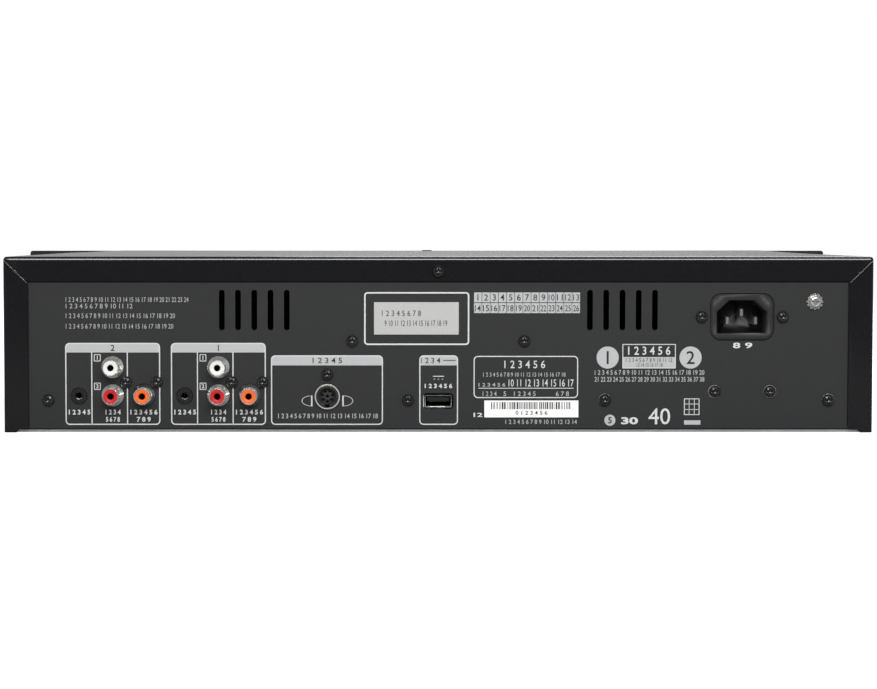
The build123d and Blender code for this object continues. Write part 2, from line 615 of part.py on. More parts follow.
def make_inlet_pins():
    """The three mains pins, each running out behind the inlet as a solder tail."""
    front = REAR_Y - INLET_RECESS_D + INLET_PIN_L
    with BuildPart() as pins:
        with BuildSketch(facing_rear(REAR_Y - INLET_D - INLET_PIN_TAIL)):
            with Locations(inlet_pin_points()):
                Rectangle(INLET_PIN_W, INLET_PIN_H)
        extrude(amount=front - REAR_Y + INLET_D + INLET_PIN_TAIL)
        chamfer(pins.faces().group_by(Axis.Y)[-1].edges(), 0.4)
    return pins.part


# ================================================================ boards and supports
def board_corners(x0, x1, y0, y1):
    """The four fixing points of a board, set in from its corners."""
    inset = STANDOFF_INSET
    return [
        (x0 + inset, y0 + inset),
        (x1 - inset, y0 + inset),
        (x0 + inset, y1 - inset),
        (x1 - inset, y1 - inset),
    ]


BOARD_Y1 = REAR_IN_Y - BOARD_BACK_GAP
POWER_Y1 = REAR_IN_Y - 16.0
MAIN_FIXINGS = board_corners(MAIN_X0, MAIN_X1, MAIN_Y0, BOARD_Y1 - BOARD_JACK_D)
POWER_FIXINGS = board_corners(POWER_X0, POWER_X1, POWER_Y0, POWER_Y1)


def make_board(x0, x1, y0, y1, fixings):
    """One flat circuit board on its standoffs."""
    with BuildPart() as board:
        with BuildSketch(Plane.XY.offset(BOARD_Z)):
            with Locations(((x0 + x1) / 2, (y0 + y1) / 2)):
                Rectangle(x1 - x0, y1 - y0)
            with Locations(fixings):
                Circle(STANDOFF_HOLE_R, mode=Mode.SUBTRACT)
        extrude(amount=BOARD_T)
    return board.part


def make_standoffs():
    """The pillars under both boards, each with the screw that holds the board to it."""
    with BuildPart() as pillars:
        with BuildSketch(Plane.XY.offset(PAN_SHEET)):
            with Locations(MAIN_FIXINGS + POWER_FIXINGS):
                Circle(STANDOFF_R)
        extrude(amount=BOARD_Z - PAN_SHEET)
        with BuildSketch(Plane.XY.offset(BOARD_Z)):
            with Locations(MAIN_FIXINGS + POWER_FIXINGS):
                Circle(STANDOFF_PIN_R)
        extrude(amount=BOARD_T)
        with BuildSketch(Plane.XY.offset(BOARD_TOP)):
            with Locations(MAIN_FIXINGS + POWER_FIXINGS):
                Circle(STANDOFF_HEAD_R)
        extrude(amount=STANDOFF_HEAD_H)
    return pillars.part


def make_board_chips():
    """The chips and plug headers on the main board: (x, y, width, depth, height) each."""
    chips = (
        (150.0, MAIN_Y0 + 28.0, 20.0, 20.0, 1.6),
        (110.0, MAIN_Y0 + 26.0, 14.0, 14.0, 1.4),
        (70.0, MAIN_Y0 + 28.0, 20.0, 14.0, 1.6),
        (30.0, MAIN_Y0 + 32.0, 10.0, 16.0, 1.8),
        (DECK_X + 20.0, MAIN_Y0 + 10.0, 22.0, 5.0, 7.0),
        (DECK_X - 50.0, MAIN_Y0 + 10.0, 22.0, 5.0, 7.0),
        (15.0, MAIN_Y0 + 10.0, 14.0, 6.0, 8.0),
    )
    with BuildPart() as parts:
        for x, y, width, depth, height in chips:
            with BuildSketch(Plane.XY.offset(BOARD_TOP)):
                with Locations((x, y)):
                    Rectangle(width, depth)
            extrude(amount=height)
    return parts.part


def make_transformer():
    """The small mains transformer: a laminated core round a taped coil."""
    x, y = POWER_X1 - 22.0, POWER_Y0 + 26.0
    with BuildPart() as core:
        with BuildSketch(Plane.XY.offset(BOARD_TOP)):
            with Locations((x, y)):
                Rectangle(34.0, 14.0)
        extrude(amount=27.0)
        with BuildSketch(Plane.XY.offset(BOARD_TOP + 4.0)):
            with Locations((x, y)):
                RectangleRounded(24.0, 30.0, 5.0)
        extrude(amount=20.0)
    return core.part


def make_capacitors():
    """The power board's round reservoir capacitors: (x, y, radius, height) each."""
    cans = (
        (POWER_X0 + 50.0, POWER_Y0 + 14.0, 9.0, 26.0),
        (POWER_X0 + 28.0, POWER_Y0 + 14.0, 8.0, 25.0),
        (POWER_X0 + 30.0, POWER_Y0 + 36.0, 5.0, 20.0),
        (POWER_X0 + 44.0, POWER_Y0 + 36.0, 5.0, 20.0),
    )
    with BuildPart() as parts:
        for x, y, radius, height in cans:
            with BuildSketch(Plane.XY.offset(BOARD_TOP)):
                with Locations((x, y)):
                    Circle(radius)
            extrude(amount=height)
        fillet(parts.faces().filter_by(Axis.Z).edges().filter_by(GeomType.CIRCLE), 0.8)
    return parts.part


def make_heat_sink():
    """The finned heat sink that two rear screws hold to the inside of the rear panel."""
    width, low, high, base, fin_t, fin_d, fins = 44.0, 12.6, 33.0, 3.0, 1.6, 11.0, 8
    with BuildPart() as sink:
        with BuildSketch(facing_rear(REAR_IN_Y)):
            with Locations((-SINK_X, (low + high) / 2)):
                Rectangle(width, high - low)
        extrude(amount=-base)
        with BuildSketch(facing_rear(REAR_IN_Y - base)):
            with Locations((-SINK_X, (low + high) / 2)):
                with GridLocations((width - fin_t) / (fins - 1), 1.0, fins, 1):
                    Rectangle(fin_t, high - low)
        extrude(amount=-fin_d)
        with BuildSketch(facing_rear(REAR_IN_Y)):
            with Locations(mirrored(SINK_SCREWS)):
                Circle(SCREW_HOLE_R)
        extrude(amount=-base - fin_d, mode=Mode.SUBTRACT)
    return sink.part


def make_brackets():
    """The steel stands under both loaders, and the brace behind the two upper rear screws."""
    sheet = PAN_SHEET
    foot, y0, y1 = STAND_FOOT, STAND_Y0, MAIN_Y0 - STAND_GAP
    pitch = (y1 - y0 - STAND_END) / STAND_WINDOWS
    stands = []
    for deck in (-DECK_X, DECK_X):
        for side in (-1, 1):
            outer = deck + side * FRAME_W / 2
            with BuildPart() as stand:
                with BuildSketch(Plane.XZ.offset(-y1)):
                    with BuildLine():
                        Polyline(
                            (outer, FRAME_Z),
                            (outer, PAN_SHEET + sheet),
                            (outer + side * foot, PAN_SHEET + sheet),
                            (outer + side * foot, PAN_SHEET),
                            (outer - side * sheet, PAN_SHEET),
                            (outer - side * sheet, FRAME_Z - sheet),
                            (outer - side * foot, FRAME_Z - sheet),
                            (outer - side * foot, FRAME_Z),
                            close=True,
                        )
                    make_face()
                extrude(amount=y1 - y0)
                with BuildSketch(Plane.YZ.offset(outer - side * 4.0)):
                    with Locations(((y0 + y1) / 2, FRAME_Z / 2)):
                        with GridLocations(pitch, 1.0, STAND_WINDOWS, 1):
                            SlotOverall(pitch - STAND_WEB, STAND_WINDOW_H)
                extrude(amount=side * 8.0, mode=Mode.SUBTRACT)
            stands.append(stand.part.solid())
    reach, brace_w = 22.0, 2 * BRACE_SCREW_X + 16.0
    with BuildPart() as brace:
        with BuildSketch(Plane.XY.offset(BRACE_SCREW_Z - 9.0)):
            with Locations((0, REAR_IN_Y - reach / 2)):
                Rectangle(brace_w, reach)
            with Locations((0, REAR_IN_Y - sheet - reach / 2)):
                Rectangle(brace_w - 2 * sheet, reach, mode=Mode.SUBTRACT)
        extrude(amount=18.0)
        with BuildSketch(facing_rear(REAR_IN_Y)):
            with Locations(mirrored(BRACE_SCREWS)):
                Circle(SCREW_HOLE_R)
        extrude(amount=-2 * sheet, mode=Mode.SUBTRACT)
    return Compound(children=[*stands, brace.part.solid()])


# ================================================================ front controls
def make_open_button(deck):
    """One deck's tray button: a cap, a flange behind the panel and a stem to its switch."""
    x = deck + OPEN_X
    front = PANEL_FRONT_Y - OPEN_PROUD
    flange_y = PANEL_BACK_Y + 0.1
    tip_y = FRONT_BOARD_Y - TACT_D - TACT_TIP - OPEN_TRAVEL - 0.1
    with BuildPart() as button:
        with BuildSketch(facing_front(flange_y)):
            with Locations((x, CONTROL_Z)):
                RectangleRounded(OPEN_W, OPEN_H, 1.7)
        extrude(amount=flange_y - front)
        fillet(button.faces().sort_by(Axis.Y)[0].edges(), 0.6)
        with BuildSketch(facing_front(flange_y + BUTTON_FLANGE_T)):
            with Locations((x, CONTROL_Z)):
                Rectangle(OPEN_W + 2 * BUTTON_FLANGE, OPEN_H + 2 * BUTTON_FLANGE)
        extrude(amount=BUTTON_FLANGE_T)
        with BuildSketch(facing_front(tip_y)):
            with Locations((x, CONTROL_Z)):
                Circle(1.5)
        extrude(amount=tip_y - flange_y)
    return button.part


def make_power_button():
    """The round power button with its flange and the stem to the mains switch."""
    front = PANEL_FRONT_Y - POWER_PROUD
    flange_y = PANEL_BACK_Y + 0.1
    tip_y = FRONT_BOARD_Y + BOARD_T - POWER_TRAVEL - 0.1
    with BuildPart() as button:
        with BuildSketch(facing_front(flange_y)):
            with Locations((POWER_X, CONTROL_Z)):
                Circle(POWER_R)
        extrude(amount=flange_y - front)
        fillet(button.faces().sort_by(Axis.Y)[0].edges(), 0.8)
        with BuildSketch(facing_front(flange_y + BUTTON_FLANGE_T)):
            with Locations((POWER_X, CONTROL_Z)):
                Circle(POWER_R + BUTTON_FLANGE)
        extrude(amount=BUTTON_FLANGE_T)
        with BuildSketch(facing_front(tip_y)):
            with Locations((POWER_X, CONTROL_Z)):
                Circle(2.0)
        extrude(amount=tip_y - flange_y)
    return button.part


def make_power_switch():
    """The mains push switch behind the power button, fixed to the front board."""
    back = FRONT_BOARD_Y + BOARD_T
    with BuildPart() as switch:
        with BuildSketch(facing_rear(back)):
            with Locations((-POWER_X, CONTROL_Z)):
                Rectangle(14.0, 14.0)
        extrude(amount=24.0)
        with BuildSketch(facing_rear(back + 24.0)):
            with Locations((-POWER_X, CONTROL_Z)):
                with GridLocations(8.0, 8.0, 2, 2):
                    Rectangle(1.0, 3.0)
        extrude(amount=5.0)
    return switch.part


def make_front_board():
    """The upright board behind the panel: a low strip with a tab for each control."""
    width = BODY_W - 2 * COVER_SHEET - 2 * PAN_SHEET - 4.0
    tab_h = FRONT_BOARD_TOP - PAN_SHEET
    tabs = (-DECK_X + OPEN_X - 5.0, DECK_X + OPEN_X - 5.0, USB_X, POWER_X)
    back = FRONT_BOARD_Y + BOARD_T
    with BuildPart() as board:
        with BuildSketch(facing_front(back)):
            with Locations((0, PAN_SHEET + FRONT_BOARD_LOW_H / 2)):
                Rectangle(width, FRONT_BOARD_LOW_H)
            for x in tabs:
                tab_w = 20.0 if x == POWER_X else 30.0
                with Locations((x, PAN_SHEET + tab_h / 2)):
                    Rectangle(tab_w, tab_h)
            with Locations((POWER_X, CONTROL_Z)):
                Circle(3.0, mode=Mode.SUBTRACT)
            with Locations((USB_X, CONTROL_Z)):
                Rectangle(USB_W, USB_H, mode=Mode.SUBTRACT)
        extrude(amount=BOARD_T)
    switches = []
    for deck in (-DECK_X, DECK_X):
        with BuildPart() as tact:
            with BuildSketch(facing_front(FRONT_BOARD_Y)):
                with Locations((deck + OPEN_X, CONTROL_Z)):
                    Rectangle(TACT_W, TACT_W)
            extrude(amount=TACT_D)
            with BuildSketch(facing_front(FRONT_BOARD_Y - TACT_D)):
                with Locations((deck + OPEN_X, CONTROL_Z)):
                    Circle(1.7)
            extrude(amount=TACT_TIP)
        with BuildPart() as led:
            with BuildSketch(facing_front(FRONT_BOARD_Y)):
                with Locations((deck + OPEN_X - LED_OFFSET, CONTROL_Z)):
                    Circle(LED_R)
            extrude(amount=FRONT_BOARD_Y - PANEL_FRONT_Y + 0.6)
            fillet(led.faces().sort_by(Axis.Y)[0].edges(), 0.9)
        switches += [tact.part.solid(), led.part.solid()]
    return Compound(children=[board.part.solid(), *switches])


# ================================================================ deck gears
PITCH = math.pi * MODULE
DRIVE_R = MODULE * DRIVE_TEETH / 2
PINION_R = MODULE * PINION_TEETH / 2
RACK_PITCH_X = RACK_BACK_X + RACK_BAR_W + 1.25 * MODULE
DRIVE_X = RACK_PITCH_X + DRIVE_R + MESH_GAP
PINION_X = DRIVE_X + DRIVE_R + PINION_R + MESH_GAP
MOTOR_AXIS_X = PINION_X + BELT_SPAN
GROOVE_R = PULLEY_R - BELT_DEPTH
MOTOR_GROOVE_R = MOTOR_PULLEY_R - BELT_DEPTH


def gear_outline(teeth, turn, x, y):
    """Points round a spur gear at x, y: involute flanks, with a tooth that points at turn."""
    pitch_r = MODULE * teeth / 2
    base_r = pitch_r * math.cos(PRESSURE)
    tip_r, root_r = pitch_r + MODULE, pitch_r - 1.25 * MODULE
    half_tooth = (math.pi / 2 - BACKLASH / MODULE) / teeth
    roll_at_pitch = math.tan(PRESSURE) - PRESSURE
    radii = [max(base_r, root_r) + (tip_r - max(base_r, root_r)) * k / 5 for k in range(6)]
    flank = []
    for r in radii:
        angle = math.acos(base_r / r)
        flank.append((r, half_tooth + roll_at_pitch - (math.tan(angle) - angle)))
    flank.insert(0, (root_r, flank[0][1]))
    points = []
    for n in range(teeth):
        centre = turn + 2 * math.pi * n / teeth
        points += [(r, centre - a) for r, a in flank]
        points += [(r, centre + a) for r, a in reversed(flank)]
    return [(x + r * math.cos(a), y + r * math.sin(a)) for r, a in points]


def make_drive_gear(deck):
    """The gear under the tray that moves its rack, turning on a post of the loader frame."""
    with BuildPart() as gear:
        with BuildSketch(Plane.XY.offset(GEAR_Z)):
            with BuildLine():
                Polyline(*gear_outline(DRIVE_TEETH, 0.0, deck + DRIVE_X, GEAR_Y), close=True)
            make_face()
            with Locations((deck + DRIVE_X, GEAR_Y)):
                Circle(POST_R + POST_GAP, mode=Mode.SUBTRACT)
        extrude(amount=GEAR_T)
    return gear.part


def make_pulley_gear(deck):
    """The belt pulley with the pinion on top that turns the drive gear."""
    turn = math.pi + math.pi / PINION_TEETH
    at = (deck + PINION_X, GEAR_Y)
    with BuildPart() as gear:
        with BuildSketch(Plane.XY.offset(PULLEY_Z)):
            with Locations(at):
                Circle(PULLEY_R)
        extrude(amount=PULLEY_T)
        with BuildSketch(Plane.XY.offset(PULLEY_Z + PULLEY_T / 4)):
            with Locations(at):
                Circle(PULLEY_R + 1.0)
                Circle(GROOVE_R, mode=Mode.SUBTRACT)
        extrude(amount=PULLEY_T / 2, mode=Mode.SUBTRACT)
        with BuildSketch(Plane.XY.offset(PULLEY_Z + PULLEY_T)):
            with Locations(at):
                Circle(PINION_R - 1.25 * MODULE)
        extrude(amount=GEAR_Z - PULLEY_Z - PULLEY_T)
        with BuildSketch(Plane.XY.offset(GEAR_Z)):
            with BuildLine():
                Polyline(*gear_outline(PINION_TEETH, turn, *at), close=True)
            make_face()
        extrude(amount=GEAR_T)
        with BuildSketch(Plane.XY.offset(PULLEY_Z)):
            with Locations(at):
                Circle(POST_R + POST_GAP)
        extrude(amount=GEAR_Z + GEAR_T - PULLEY_Z, mode=Mode.SUBTRACT)
    return gear.part


def make_motor_pulley(deck):
    """The loading motor's small grooved pulley and its shaft."""
    at = (deck + MOTOR_AXIS_X, GEAR_Y)
    with BuildPart() as pulley:
        with BuildSketch(Plane.XY.offset(PULLEY_Z)):
            with Locations(at):
                Circle(MOTOR_PULLEY_R)
        extrude(amount=PULLEY_T)
        with BuildSketch(Plane.XY.offset(PULLEY_Z + PULLEY_T / 4)):
            with Locations(at):
                Circle(MOTOR_PULLEY_R + 1.0)
                Circle(MOTOR_GROOVE_R, mode=Mode.SUBTRACT)
        extrude(amount=PULLEY_T / 2, mode=Mode.SUBTRACT)
        with BuildSketch(Plane.XY.offset(FRAME_Z + 0.1)):
            with Locations(at):
                Circle(MOTOR_SHAFT_R)
        extrude(amount=PULLEY_Z - FRAME_Z - 0.1)
    return pulley.part


def make_drive_belts():
    """The round-cornered rubber loops from each motor pulley to its pulley gear."""
    low = PULLEY_Z + (PULLEY_T - BELT_T) / 2
    with BuildPart() as belts:
        for deck in (-DECK_X, DECK_X):
            for extra, mode in ((BELT_T, Mode.ADD), (0.0, Mode.SUBTRACT)):
                with BuildSketch(Plane.XY.offset(low)):
                    with Locations((deck + PINION_X, GEAR_Y)):
                        Circle(GROOVE_R + BELT_SLACK + extra)
                    with Locations((deck + MOTOR_AXIS_X, GEAR_Y)):
                        Circle(MOTOR_GROOVE_R + BELT_SLACK + extra)
                    make_hull()
                extrude(amount=BELT_T, mode=mode)
    return belts.part


def make_loading_motors():
    """The two round loading motors, hung under the loader frames."""
    with BuildPart() as motors:
        with BuildSketch(Plane.XY.offset(FRAME_Z)):
            with Locations(
                (-DECK_X + MOTOR_AXIS_X, GEAR_Y), (DECK_X + MOTOR_AXIS_X, GEAR_Y)
            ):
                Circle(MOTOR_R)
        extrude(amount=-MOTOR_L)
        fillet(motors.edges().group_by(Axis.Z)[0], 1.2)
    return motors.part


# ================================================================ deck tray
def make_tray(deck):
    """The disc tray: wells for both disc sizes, an open slot to the rear and a rack below."""
    front, back = DOOR_BACK_Y, TRAY_BACK_Y
    mid_y, depth = (front + back) / 2, back - front
    top = TRAY_Z + TRAY_H
    with BuildPart() as tray:
        with BuildSketch(Plane.XY.offset(TRAY_Z)):
            with Locations((deck, mid_y)):
                Rectangle(TRAY_W, depth)
        extrude(amount=TRAY_H)
        fillet(tray.edges().filter_by(Axis.Z).group_by(Axis.Y)[-1], TRAY_CORNER_R)
        # Hollow underside: the moulding is a thin skin with a wall round its edge.
        with BuildSketch(Plane.XY.offset(TRAY_Z)):
            with Locations((deck, mid_y)):
                Rectangle(TRAY_W - 2 * 6.0, depth - 4 * TRAY_SKIN)
            with Locations((deck, DISC_Y)):
                Circle(DISC_WELL_R + TRAY_SKIN, mode=Mode.SUBTRACT)
            with Locations((deck, (DISC_Y + back) / 2)):
                Rectangle(
                    TRAY_SLOT_W + 2 * TRAY_SKIN, back - DISC_Y + 2.0, mode=Mode.SUBTRACT
                )
            with Locations((deck + RACK_BACK_X + RACK_BAR_W / 2, mid_y)):
                Rectangle(4 * RACK_BAR_W, depth, mode=Mode.SUBTRACT)
        extrude(amount=TRAY_H - TRAY_SKIN, mode=Mode.SUBTRACT)
        with BuildSketch(Plane.XY.offset(top)):
            with Locations((deck, DISC_Y)):
                Circle(DISC_WELL_R)
        extrude(amount=-DISC_WELL_D, mode=Mode.SUBTRACT)
        with BuildSketch(Plane.XY.offset(top)):
            with Locations((deck - DISC_WELL_R, DISC_Y), (deck + DISC_WELL_R, DISC_Y)):
                Circle(FINGER_R)
            with Locations((deck, DISC_Y)):
                Rectangle(TRAY_W - 2 * TRAY_SKIN, 4 * FINGER_R, mode=Mode.INTERSECT)
        extrude(amount=-DISC_WELL_D, mode=Mode.SUBTRACT)
        with BuildSketch(Plane.XY.offset(top)):
            with Locations((deck, DISC_Y)):
                Circle(SMALL_WELL_R)
        extrude(amount=-SMALL_WELL_D, mode=Mode.SUBTRACT)
        with BuildSketch(Plane.XY.offset(TRAY_Z)):
            with Locations((deck, DISC_Y)):
                Circle(TRAY_SLOT_W / 2)
            with Locations((deck, (DISC_Y + back + 5.0) / 2)):
                Rectangle(TRAY_SLOT_W, back + 5.0 - DISC_Y)
        extrude(amount=TRAY_H, mode=Mode.SUBTRACT)
        # The rack: a bar under the left edge with straight-sided teeth towards the middle.
        rack_y0, rack_y1 = front + 4.0, back - 3.0
        with BuildSketch(Plane.XY.offset(RACK_Z)):
            with Locations((deck + RACK_BACK_X + RACK_BAR_W / 2, (rack_y0 + rack_y1) / 2)):
                Rectangle(RACK_BAR_W, rack_y1 - rack_y0)
            with BuildLine():
                Polyline(*rack_outline(deck, rack_y0 + PITCH, rack_y1 - PITCH), close=True)
            make_face()
        extrude(amount=RACK_H)
    return tray.part


def rack_outline(deck, y0, y1):
    """Points of the rack's teeth, with a gap between two teeth level with the drive gear."""
    root_x = deck + RACK_BACK_X + RACK_BAR_W
    tip_x = root_x + 2.25 * MODULE
    half = PITCH / 4 - BACKLASH / 2
    root_half = half + 1.25 * MODULE * math.tan(PRESSURE)
    tip_half = half - MODULE * math.tan(PRESSURE)
    first = math.ceil((y0 - GEAR_Y) / PITCH - 0.5)
    last = math.floor((y1 - GEAR_Y) / PITCH - 0.5)
    points = [(root_x - 1.0, GEAR_Y + (first + 0.5) * PITCH - root_half)]
    for k in range(first, last + 1):
        y = GEAR_Y + (k + 0.5) * PITCH
        points += [
            (root_x, y - root_half),
            (tip_x, y - tip_half),
            (tip_x, y + tip_half),
            (root_x, y + root_half),
        ]
    points.append((root_x - 1.0, GEAR_Y + (last + 0.5) * PITCH + root_half))
    return points


def make_tray_door(deck):
    """The long door on the tray's front that closes the opening in the panel."""
    with BuildPart() as door:
        with BuildSketch(facing_front(DOOR_BACK_Y)):
            with Locations((deck, DOOR_Z)):
                RectangleRounded(DOOR_W, DOOR_H, 0.8)
        extrude(amount=DOOR_T)
        fillet(door.faces().sort_by(Axis.Y)[0].edges(), 0.7)
    return door.part


# ================================================================ deck loader
def make_loader_frame(deck):
    """The loader's black frame: floor, walls with guide ribs, gear posts and hinge ears."""
    mid_y, depth = (FRAME_Y0 + FRAME_Y1) / 2, FRAME_Y1 - FRAME_Y0
    floor_top = FRAME_Z + FRAME_T
    half = FRAME_W / 2
    rib_out = half - FRAME_WALL
    rib_in = -RACK_BACK_X + 0.6
    with BuildPart() as frame:
        with BuildSketch(Plane.XY.offset(FRAME_Z)):
            with Locations((deck, mid_y)):
                Rectangle(FRAME_W, depth)
            with Locations((deck, (FRAME_OPENING_Y0 + FRAME_OPENING_Y1) / 2)):
                Rectangle(
                    FRAME_OPENING_W, FRAME_OPENING_Y1 - FRAME_OPENING_Y0, mode=Mode.SUBTRACT
                )
            with Locations((deck + MOTOR_AXIS_X, GEAR_Y)):
                Circle(4.0, mode=Mode.SUBTRACT)
        extrude(amount=FRAME_T)
        with BuildSketch(Plane.XY.offset(floor_top)):
            with Locations((deck, mid_y)):
                Rectangle(FRAME_W, depth)
            with Locations((deck, mid_y - FRAME_WALL)):
                Rectangle(FRAME_W - 2 * FRAME_WALL, depth, mode=Mode.SUBTRACT)
        extrude(amount=FRAME_TOP - floor_top)
        for side in (-1, 1):
            middle = deck + side * (rib_out + rib_in) / 2
            with BuildSketch(Plane.XY.offset(TRAY_Z - RIB_GAP - RIB_T)):
                with Locations((middle, mid_y)):
                    Rectangle(rib_out - rib_in, depth)
            extrude(amount=RIB_T)
            with BuildSketch(Plane.XY.offset(TRAY_Z + TRAY_H + RIB_GAP)):
                with Locations((deck + side * (rib_out - 2.6), mid_y)):
                    with GridLocations(1.0, depth - 24.0, 1, 2):
                        Rectangle(5.2, 24.0)
            extrude(amount=RIB_T)
            with BuildSketch(Plane.YZ.offset(deck + side * (EAR_X + EAR_T / 2))):
                with BuildLine():
                    Polyline(
                        (HINGE_Y - 4.5, floor_top),
                        (HINGE_Y - 4.5, HINGE_Z),
                        (HINGE_Y, HINGE_Z + 4.5),
                        (HINGE_Y + 4.5, HINGE_Z),
                        (FRAME_OPENING_Y1 + 4.0, floor_top),
                        (FRAME_OPENING_Y1 + 4.0, FRAME_Z),
                        (HINGE_Y - 4.5, FRAME_Z),
                        close=True,
                    )
                make_face()
                with Locations((HINGE_Y, HINGE_Z)):
                    Circle(HINGE_R + HINGE_GAP, mode=Mode.SUBTRACT)
            extrude(amount=-side * EAR_T)
        for x, boss_top in ((DRIVE_X, GEAR_Z - 0.3), (PINION_X, PULLEY_Z - 0.3)):
            with BuildSketch(Plane.XY.offset(floor_top)):
                with Locations((deck + x, GEAR_Y)):
                    Circle(2 * POST_R)
            extrude(amount=boss_top - floor_top)
            with BuildSketch(Plane.XY.offset(floor_top)):
                with Locations((deck + x, GEAR_Y)):
                    Circle(POST_R)
            extrude(amount=GEAR_Z + GEAR_T + 0.2 - floor_top)
    return frame.part


def make_clamp_bridge(deck):
    """The steel bridge over the tray that carries the disc clamp."""
    half = FRAME_W / 2
    leg = FRAME_TOP
    with BuildPart() as bridge:
        with BuildSketch(facing_front(DISC_Y + BRIDGE_D / 2)):
            with BuildLine():
                Polyline(
                    (deck - half, leg),
                    (deck - half, BRIDGE_Z + BRIDGE_T),
                    (deck + half, BRIDGE_Z + BRIDGE_T),
                    (deck + half, leg),
                    (deck + half - FRAME_WALL, leg),
                    (deck + half - FRAME_WALL, leg + BRIDGE_T),
                    (deck + half - BRIDGE_T, leg + BRIDGE_T),
                    (deck + half - BRIDGE_T, BRIDGE_Z),
                    (deck - half + BRIDGE_T, BRIDGE_Z),
                    (deck - half + BRIDGE_T, leg + BRIDGE_T),
                    (deck - half + FRAME_WALL, leg + BRIDGE_T),
                    (deck - half + FRAME_WALL, leg),
                    close=True,
                )
            make_face()
        extrude(amount=BRIDGE_D)
        with BuildSketch(Plane.XY.offset(BRIDGE_Z)):
            with Locations((deck, DISC_Y)):
                Circle(CLAMP_HOLE_R)
            with Locations((deck - 45.0, DISC_Y), (deck + 45.0, DISC_Y)):
                SlotOverall(34.0, 16.0)
        extrude(amount=BRIDGE_T, mode=Mode.SUBTRACT)
    return bridge.part


def make_clamp(deck):
    """The round disc clamp that hangs in the bridge and turns with the disc."""
    bottom = TURNTABLE_Z + TURNTABLE_T + HUB_H + CLAMP_GAP
    cap_z = BRIDGE_Z + BRIDGE_T + CLAMP_GAP
    with BuildPart() as clamp:
        with BuildSketch(Plane.XY.offset(bottom)):
            with Locations((deck, DISC_Y)):
                Circle(CLAMP_R)
        extrude(amount=BRIDGE_Z - 1.6 - bottom)
        with BuildSketch(Plane.XY.offset(bottom)):
            with Locations((deck, DISC_Y)):
                Circle(CLAMP_NECK_R)
        extrude(amount=cap_z - bottom)
        with BuildSketch(Plane.XY.offset(cap_z)):
            with Locations((deck, DISC_Y)):
                Circle(CLAMP_CAP_R)
        extrude(amount=CLAMP_CAP_T)
        fillet(clamp.edges().group_by(Axis.Z)[-1], 0.8)
    return clamp.part


# ================================================================ deck traverse
def make_traverse(deck):
    """The tilting plate that carries the disc motor, the rods and the laser sled."""
    mid_y, depth = (TRAVERSE_Y0 + TRAVERSE_Y1) / 2, TRAVERSE_Y1 - TRAVERSE_Y0
    top = TRAVERSE_Z + TRAVERSE_T
    post_h = ROD_Z + 2.6 - top
    sled_mid = (SLED_OPEN_X0 + SLED_OPEN_X1) / 2
    front_post_y, rear_post_y = SLED_OPEN_Y0 - 4.0, SLED_OPEN_Y1 + 3.0
    with BuildPart() as plate:
        with BuildSketch(Plane.XY.offset(TRAVERSE_Z)):
            with Locations((deck, mid_y)):
                Rectangle(TRAVERSE_W, depth)
            with Locations((deck + sled_mid, (SLED_OPEN_Y0 + SLED_OPEN_Y1) / 2)):
                Rectangle(
                    SLED_OPEN_X1 - SLED_OPEN_X0, SLED_OPEN_Y1 - SLED_OPEN_Y0, mode=Mode.SUBTRACT
                )
            with Locations((deck + SCREW_AXIS_X, (SLED_MOTOR_Y0 + SLED_OPEN_Y0) / 2)):
                Rectangle(
                    2 * SLED_MOTOR_R + 0.4, SLED_OPEN_Y0 - SLED_MOTOR_Y0 + 0.2, mode=Mode.SUBTRACT
                )
        extrude(amount=TRAVERSE_T)
        for x, ys in (
            (-ROD_X, (front_post_y, rear_post_y)),
            (ROD_X, (rear_post_y,)),
            (SCREW_AXIS_X, (rear_post_y,)),
            (ROD_X - 2.2, (front_post_y,)),
        ):
            for y in ys:
                with BuildSketch(Plane.XY.offset(top)):
                    with Locations((deck + x, y)):
                        Rectangle(6.0, 4.0)
                extrude(amount=post_h)
        with BuildSketch(Plane.XZ):
            with Locations((deck - ROD_X, ROD_Z), (deck + ROD_X, ROD_Z)):
                Circle(ROD_R + 0.01)
            with Locations((deck + SCREW_AXIS_X, SCREW_AXIS_Z)):
                Circle(LEAD_R + 0.06)
        extrude(amount=60.0, both=True, mode=Mode.SUBTRACT)
        for side in (-1, 1):
            with BuildSketch(Plane.YZ.offset(deck + side * (TRAVERSE_W / 2 - 4.0))):
                with Locations((HINGE_Y, HINGE_Z)):
                    Circle(HINGE_R)
            extrude(amount=side * (EAR_X + EAR_T / 2 - TRAVERSE_W / 2 + 4.0))
    return plate.part


def make_guide_rods(deck):
    """The two polished rods that the laser sled slides on."""
    y0, y1 = SLED_OPEN_Y0 - 6.0, SLED_OPEN_Y1 + 5.0
    with BuildPart() as rods:
        with BuildSketch(Plane.XZ.offset(-y0)):
            with Locations((deck - ROD_X, ROD_Z), (deck + ROD_X, ROD_Z)):
                Circle(ROD_R)
        extrude(amount=-(y1 - y0))
    return rods.part


